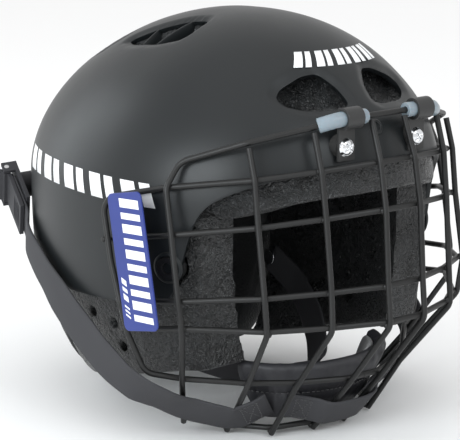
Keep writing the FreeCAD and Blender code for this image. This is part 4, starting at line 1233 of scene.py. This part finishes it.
class PrintBars(bpy.types.Operator):
    """Prints plain slanted bars on the shell's side, its forehead and the side plate"""

    bl_idname = "helmet.print_bars"
    bl_label = "Printed bars"

    def execute(self, context):
        ink = shared("print_ink", print_ink, settings_of("helmet_shell"))
        wide = [(cell * 0.2 + shift, width)
                for cell in range(5) for shift, width in ((0.012, 0.075), (0.112, 0.052))]
        for side, name in zip((-1, 1), SIDES):
            band = printed_bars(f"{name}_side_print", (side * 137.0, 149.2), (side * 64.0, 147.2), 13.2, wide,
                                -0.034, ink)
            place_on(band, "helmet", "shell_black")
        front = printed_bars("forehead_print", (-19.3, 220.0), (30.0, 219.4), 7.4, wide, 0.066, ink)
        place_on(front, "helmet", "shell_black")
        tilt = Matrix.Rotation(math.radians(-11.5), 3, "X")
        origin = Vector((-118.9, -50.5, 112.5)) * MM
        points, faces = [], []
        bars = [(-12.6, 4.6, -35.0 + 14.4 * k + shift, width) for k in range(5)
                for shift, width in ((0.0, 5.0), (8.0, 3.6))]
        bars += [(8.0, 12.0, 9.5 + step, width) for step, width in ((0, 3.2), (5, 2.2), (9, 3.2), (15.5, 1.0),
                                                                     (18, 1.0), (20.5, 1.0))]
        for low, high, start, width in bars:
            corners = []
            for x, down in ((low, start + 1.1), (high, start - 1.1), (high, start + width - 1.1),
                            (low, start + width + 1.1)):
                for out in (-1.18, -1.32):
                    corners.append(origin + tilt @ Vector((out, x, -down)) * MM)
            a = len(points)
            points += corners
            faces += [(a, a + 2, a + 4, a + 6), (a + 7, a + 5, a + 3, a + 1)]
            faces += [(a + k, a + (k + 1), a + (k + 3) % 8, a + (k + 2) % 8) for k in (0, 2, 4, 6)]
        plate = face_outwards(mesh_piece("plate_print", points, faces, ink))
        for polygon in plate.data.polygons:
            polygon.use_smooth = False
        place_on(plate, "cage", "plate_blue")
        return {"FINISHED"}


class BuildFoam(bpy.types.Operator):
    """Grows the five foam pads"""

    bl_idname = "helmet.build_foam"
    bl_label = "Foam pads"

    def execute(self, context):
        settings = settings_of("helmet_foam")
        skin = shared("foam_skin", foam_skin, settings)
        plain = shared("fine_foam", fine_foam, settings)
        foam_pad("brow_pad", "brow_foam", skin, ease=12, vent=(FRONT_VENT, (0, 2)))
        foam_pad("right_side_pad", "right_ear_foam", skin, ease=9)
        foam_pad("left_side_pad", "left_ear_foam", skin, ease=9)
        foam_pad("nape_pad", "nape_foam", plain, grain=1.9 * MM, ease=9)
        foam_pad("crown_pad", "crown_foam", plain, grain=2.2 * MM, ease=9, vent=(CROWN_VENT, (0, 1)))
        return {"FINISHED"}


class FinishCage(bpy.types.Operator):
    """Coats the cage wires, adds the welds and rounded wire ends, and finishes the pivot fittings"""

    bl_idname = "helmet.finish_cage"
    bl_label = "Cage and clips"

    def execute(self, context):
        settings = settings_of("helmet_cage")
        coat = shared("coated_wire", coated_wire, settings)
        cross_wires = ("eye_wire", "nose_wire", "mouth_wire", "chin_rim_wire")
        bars = [f"{side}_{name}" for side in SIDES for name in ("outer_bar", "middle_bar", "inner_bar")]
        cad_finish(coat, "top_frame_wire", "side_frame_wire", *cross_wires, *bars)
        welds = []
        for bar in bars:
            side = -1 if bar.startswith("right") else 1
            for wire in ("top_frame_wire", "side_frame_wire", *cross_wires):
                place, facing, gap = crossing(wire, bar, side)
                if gap < 1.2 * MM:
                    welds.append((place, facing, (0.2, 0.1, 1)))
        for wire in cross_wires:
            for side in (-1, 1):
                for other in ("side_frame_wire", "top_frame_wire"):
                    if wire == "chin_rim_wire" and other == "side_frame_wire":
                        continue
                    place, facing, gap = crossing(wire, other, side)
                    if gap < 1.2 * MM:
                        welds.append((place, facing, (0, 0.3, 1)))
        width = settings.weld_radius * 2
        repeated("cage_welds", welds, coat, "cage", "coated_wire", length=width * 1.15, width=width * 1.15,
                 height=width * 1.05, variation=0.1, seed=11)
        ends = []
        for bar in bars:
            place, heading = rod_end(bar, (0, 0.7, -0.75))
            ends.append((place, heading, (1, 0, 0)))
        for side in (-1, 1):
            for wire in ("eye_wire", "nose_wire", "mouth_wire"):
                place, heading = rod_end(wire, (side, 0.35, 0))
                ends.append((place, heading, (0, 0, 1)))
        repeated("wire_ends", ends, coat, "cage", "coated_wire", length=3.38 * MM, width=3.38 * MM, height=1.8 * MM,
                 variation=0.0)
        sleeve = shared("soft_sleeve", soft_sleeve, settings)
        strip = shared("clip_metal", clip_metal)
        chrome = shared("screw_chrome", bright_metal, "screw_chrome", (0.80, 0.79, 0.77, 1), 0.17)
        nylon = shared("black_nylon", moulded_plastic, "black_nylon", (0.010, 0.010, 0.011, 1), 0.36)
        steel = shared("plated_steel", bright_metal, "plated_steel", (0.55, 0.55, 0.56, 1), 0.3)
        rubber = shared("rubber_washer", rubber_washer)
        for side in SIDES:
            softened(f"{side}_clip_sleeve", f"{side}_sleeve", sleeve, "cage", "sleeve_grey", 0.55 * MM)
            softened(f"{side}_j_clip", f"{side}_clip_strip", strip, "helmet", "clip_metal", 0.45 * MM)
            softened(f"{side}_side_screw", f"{side}_slotted_screw", nylon, "helmet", "screw_plastic", 0.3 * MM)
            self.screw_head(side, chrome)
            cad_finish(steel, f"{side}_clip_nut", f"{side}_side_nut", f"{side}_buckle_nut", f"{side}_buckle_pin",
                       f"{side}_buckle_screw")
            cad_finish(rubber, f"{side}_clip_spacer")
            self.screw_seat(side)
        blue = shared("plate_plastic", plate_plastic, settings)
        softened("side_plate", "blue_plate", blue, "cage", "plate_blue", 0.4 * MM)
        return {"FINISHED"}

    def screw_head(self, side, chrome):
        """A domed washer-head screw with its cross recess pressed in, which stands for the CAD screw."""
        low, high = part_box(f"{side}_clip_screw")
        middle = Vector(((low.x + high.x) / 2, low.y + 2.6 * MM, (low.z + high.z) / 2))
        rings = [(0.0, 1.6), (0.7, 1.59), (1.4, 1.55), (2.1, 1.46), (2.8, 1.32), (3.4, 1.12), (3.9, 0.84), (4.3, 0.48),
                 (4.6, 0.1), (4.9, -0.5), (5.4, -0.95), (5.6, -1.4), (5.5, -2.0), (2.4, -2.05), (2.4, -18.0),
                 (0.0, -18.6)]
        rings = [(r, h + 1.0) for r, h in rings]
        sides, points, faces = 64, [], []
        for radius, height in rings[1:-1]:
            for step in range(sides):
                turn = 2 * math.pi * step / sides
                x, z = radius * math.cos(turn), radius * math.sin(turn)
                if height > 0.9:
                    arm = min(abs(x * 0.82 + z * 0.57), abs(z * 0.82 - x * 0.57))
                    height_here = height
                    height_here -= 1.3 * max(0.0, 1 - (arm / 0.75) ** 2) * max(0.0, 1 - (radius / 3.3) ** 4)
                else:
                    height_here = height
                points.append(middle + Vector((x, -height_here, z)) * MM)
        rows = len(rings) - 2
        for row in range(rows - 1):
            for step in range(sides):
                a, b = row * sides + step, row * sides + (step + 1) % sides
                faces.append((a, b, b + sides, a + sides))
        points += [middle + Vector((0, -1.3, 0)) * MM, middle + Vector((0, 17.6, 0)) * MM]
        for step in range(sides):
            faces.append((len(points) - 2, (step + 1) % sides, step))
            a, b = (rows - 1) * sides + step, (rows - 1) * sides + (step + 1) % sides
            faces.append((a, b, len(points) - 1))
        head = face_outwards(mesh_piece(f"{side}_cross_screw", points, faces, chrome))
        place_on(head, "helmet", "screw_chrome", f"{side}_clip_screw")

    def screw_seat(self, side):
        """The moulded ring that a side screw sits in."""
        sign = -1 if side == "right" else 1
        angle = sign * SIDE_SCREW_ANGLE
        facing = dome_normals(angle, SIDE_SCREW_LEVEL)
        centre = dome_points(angle, SIDE_SCREW_LEVEL) * MM
        profile = [(6.6, -1.2), (6.6, 0.55), (6.9, 0.85), (7.6, 0.9), (8.6, 0.45), (9.2, 0.0), (9.2, -1.2)]
        ring = turned(f"{side}_screw_seat", [(r * MM, h * MM) for r, h in profile], centre, facing,
                      shared("satin_shell", satin_shell, settings_of("helmet_shell")))
        place_on(ring, "helmet", "shell_black")


class BuildBuckles(bpy.types.Operator):
    """Finishes the rear buckles: body, lever with finger ribs, and the chin strap's rivets and snap"""

    bl_idname = "helmet.build_buckles"
    bl_label = "Buckles and rivets"

    def execute(self, context):
        plastic = shared("buckle_plastic", moulded_plastic, "buckle_plastic", (0.0065, 0.0075, 0.008, 1), 0.4)
        chrome = shared("screw_chrome", bright_metal, "screw_chrome", (0.80, 0.79, 0.77, 1), 0.17)
        for sign, side in zip((1, -1), SIDES):
            softened(f"{side}_buckle_base", f"{side}_buckle_body", plastic, "helmet", "buckle_plastic", 0.5 * MM)
            softened(f"{side}_buckle_lever", f"{side}_lever", plastic, f"{side}_lever", "buckle_plastic", 0.5 * MM)
            softened(f"{side}_strap_rivet", f"{side}_rivet", chrome, "helmet", "screw_chrome", 0.4 * MM)
            ribs = []
            for down in (4.0, 7.0, 10.0, 13.0):
                place = buckle_spot(down, 0, 3.75)
                place.x *= sign
                out, ahead = BUCKLE_OUT.copy(), BUCKLE_ACROSS.copy()
                out.x *= sign
                ahead.x *= sign
                ribs.append((place * MM, out, ahead))
            repeated(f"{side}_lever_ribs", ribs, plastic, f"{side}_lever", "buckle_plastic", length=20 * MM,
                     width=1.5 * MM, height=1.4 * MM, variation=0.0)
        softened("chin_snap_cap", "snap_cap", plastic, "helmet", "buckle_plastic", 0.6 * MM)
        return {"FINISHED"}


class BuildStraps(bpy.types.Operator):
    """Weaves the side straps, the chin straps and the strap over the cup, and sews their ends"""

    bl_idname = "helmet.build_straps"
    bl_label = "Straps and stitching"

    def execute(self, context):
        settings = settings_of("helmet_strap")
        cloth = shared("webbing", webbing, settings)
        sewing = shared("black_thread", thread, "black_thread", (0.030, 0.030, 0.032, 1))
        straps = {
            "right_side_webbing": (SIDE_STRAP, 24.0, "cage", "right_side_strap", (-16.0,)),
            "left_side_webbing": (other_side(SIDE_STRAP), 24.0, "cage", "left_side_strap", (-16.0,)),
            "cup_webbing": ((*CENTRE_HALF, *other_side(CENTRE_HALF, True)), 21.0, "cage", "centre_strap",
                            (4.0, -13.0)),
            "right_chin_webbing": (RIGHT_CHIN_STRAP, 20.0, "helmet", "right_chin_strap", (12.0,)),
            "left_chin_webbing": (LEFT_CHIN_STRAP, 20.0, "helmet", "left_chin_strap", (12.0,)),
        }
        for name, (stations, width, body, node, tacks) in straps.items():
            piece = strap_piece(name, stations, width, cloth)
            place_on(piece, body, "webbing", node)
            paths = tack_paths(stations, width, tacks)
            repeated(name.replace("webbing", "stitches"), paths, sewing, body, "webbing", along_path=True,
                     spacing=settings.stitch_spacing, length=2.0 * MM, width=0.62 * MM, height=0.45 * MM)
        return {"FINISHED"}


class BuildCup(bpy.types.Operator):
    """Pads the chin cup: leather cover with a rolled rim, stitched seam, and a lining with dark spots of painted shade
    for its perforations
    """

    bl_idname = "helmet.build_cup"
    bl_label = "Chin cup"

    def execute(self, context):
        settings = settings_of("helmet_cup")
        leather = shared("cup_leather", cup_leather, settings)
        lining = shared("soft_lining", soft_lining)
        roll = settings.roll / MM
        cover = cup_piece("cup_cover", closed_profile([
            (8.0, 5.2), (6.8, 2.4), (8.6, 0.3), (15, -0.4), (20, -0.7), (24.5, -0.1), (27, 0.9), (29.5, -0.1),
            (34, -roll * 0.6), (40, -roll), (44.5, -roll * 0.7), (46.4, 1.6), (45.4, 5.0), (40, 5.3), (25, 5.2),
            (14, 5.2)]), leather, wrinkle=settings.wrinkle / MM)
        place_on(cover, "cage", "cup_leather", "chin_cup")
        pad = cup_piece("cup_pad", closed_profile([
            (13, 9.3), (12, 7.2), (13, 5.6), (28, 5.5), (42, 5.6), (43.8, 7.0), (42.6, 9.3), (34, 10.6), (27.5, 9.4),
            (20, 10.6)]), lining, sweep=81.0, columns=96)
        place_on(pad, "cage", "cup_lining", "chin_cup_liner")
        seam = []
        for level in (27.0,):
            path = []
            for step in range(81):
                angle = math.radians(-78 + 156 * step / 80)
                place = cup_ring(level, 0.35, angle)
                ahead = cup_ring(level, 0.35, angle + 0.01) - cup_ring(level, 0.35, angle - 0.01)
                outward = Vector((math.sin(angle), -math.cos(angle), 0.15)).normalized()
                path.append((place * MM, outward, ahead.normalized()))
            seam.append(path)
        sewing = shared("black_thread", thread, "black_thread", (0.030, 0.030, 0.032, 1))
        repeated("cup_stitches", seam, sewing, "cage", "cup_leather", along_path=True, spacing=3.0 * MM,
                 length=2.3 * MM, width=0.7 * MM, height=0.6 * MM)
        # Nearly black spots set on the lining as painted shade standing for its perforations.
        painted_hole_shades = []
        for row, level in enumerate((19.0, 27.5, 36.0)):
            for step in range(9):
                angle = math.radians(-60 + 15 * step + (7.5 if row % 2 else 0))
                inset = 9.6 if level == 27.5 else 10.4
                inward = Vector((-math.sin(angle), math.cos(angle), 0))
                painted_hole_shades.append((cup_ring(level, inset, angle) * MM, inward, (0, 0, 1)))
        repeated("cup_perforations", painted_hole_shades, shared("dark_recess", dark_recess), "cage", "cup_lining",
                 length=2.4 * MM, width=2.4 * MM, height=0.6 * MM, variation=0.05)
        return {"FINISHED"}


class SetStage(bpy.types.Operator):
    """Sets the floor, the soft lights and the camera"""

    bl_idname = "helmet.set_stage"
    bl_label = "Stage"

    def execute(self, context):
        settings = settings_of("helmet_stage")
        paper = Finish("pale_paper", 0.9, Specular_IOR_Level=0.1)
        paper.colour(paper.noise(3.0), tint(settings.floor_colour, 0.995), tint(settings.floor_colour, 1.0))
        reach, level = FLOOR_HALF_WIDTH, FLOOR_LEVEL
        corners = [(-reach, -reach, level), (reach, -reach, level), (reach, reach, level), (-reach, reach, level)]
        floor = mesh_piece("floor", corners, [(0, 1, 2, 3)], paper.material)
        world = bpy.data.worlds.new("soft_room")
        context.scene.world = world
        world.use_nodes = True
        room = world.node_tree
        sky = room.nodes["Background"]
        sky.inputs["Color"].default_value = (1.0, 1.0, 1.0, 1)
        sky.inputs["Strength"].default_value = settings.room_strength
        middle = Vector((0, 0, 0.12))
        sun = bpy.data.lights.new("overhead_sun", "SUN")
        sun.energy, sun.angle = 0.45, math.radians(70)
        overhead = bpy.data.objects.new("overhead_sun", sun)
        overhead.rotation_euler = (math.radians(12), math.radians(-14), 0)
        context.scene.collection.objects.link(overhead)
        for name, azimuth, elevation, distance, width, height, power in (
            ("key_light", -80, 17, 1.5, 0.8, 0.5, 13.0),
            ("front_light", -2, 34, 1.7, 0.6, 0.5, 6.0),
            ("rim_light", -158, 16, 1.5, 0.5, 0.9, 4.0),
        ):
            light = bpy.data.lights.new(name, "AREA")
            light.shape, light.size, light.size_y, light.energy = "RECTANGLE", width, height, power
            light.color = (0.90, 0.965, 1.0)
            lamp = bpy.data.objects.new(name, light)
            a, e = math.radians(azimuth), math.radians(elevation)
            back = Vector((math.sin(a) * math.cos(e), -math.cos(a) * math.cos(e), math.sin(e)))
            lamp.location = middle + back * distance
            lamp.rotation_euler = (-back).to_track_quat("-Z", "Y").to_euler()
            context.scene.collection.objects.link(lamp)
        camera = bpy.data.objects.new("camera", bpy.data.cameras.new("camera"))
        camera.data.lens, camera.data.sensor_width = settings.lens, 36.0
        a, e = settings.azimuth, settings.elevation
        back = Vector((math.sin(a) * math.cos(e), -math.cos(a) * math.cos(e), math.sin(e)))
        camera.location = Vector(settings.target) + back * settings.distance
        camera.rotation_euler = (-back).to_track_quat("-Z", "Y").to_euler()
        context.scene.collection.objects.link(camera)
        context.scene.camera = camera
        context.scene.view_settings.view_transform = "Standard"
        return {"FINISHED"}


BUILDERS = (BuildShell, PrintBars, BuildFoam, FinishCage, BuildBuckles, BuildStraps, BuildCup, SetStage)


class HelmetPanel(bpy.types.Panel):
    """Lists the helmet's builders and their settings"""

    bl_idname = "VIEW3D_PT_ice_hockey_helmet"
    bl_label = "Ice hockey helmet"
    bl_space_type = "VIEW_3D"
    bl_region_type = "UI"
    bl_category = "Helmet"

    def draw(self, context):
        for name, group in SETTINGS.items():
            box = self.layout.box()
            for setting in group.__annotations__:
                box.prop(getattr(context.scene, name), setting)
        for builder in BUILDERS:
            self.layout.operator(builder.bl_idname)


CLASSES = (*SETTINGS.values(), *BUILDERS, HelmetPanel)


def register():
    for item in CLASSES:
        bpy.utils.register_class(item)
    for name, group in SETTINGS.items():
        setattr(bpy.types.Scene, name, bpy.props.PointerProperty(type=group))


def unregister():
    for name in SETTINGS:
        delattr(bpy.types.Scene, name)
    for item in reversed(CLASSES):
        bpy.utils.unregister_class(item)


def main():
    register()
    for builder in BUILDERS:
        group, operator = builder.bl_idname.split(".")
        getattr(getattr(bpy.ops, group), operator)()


if __name__ == "__main__":
    main()
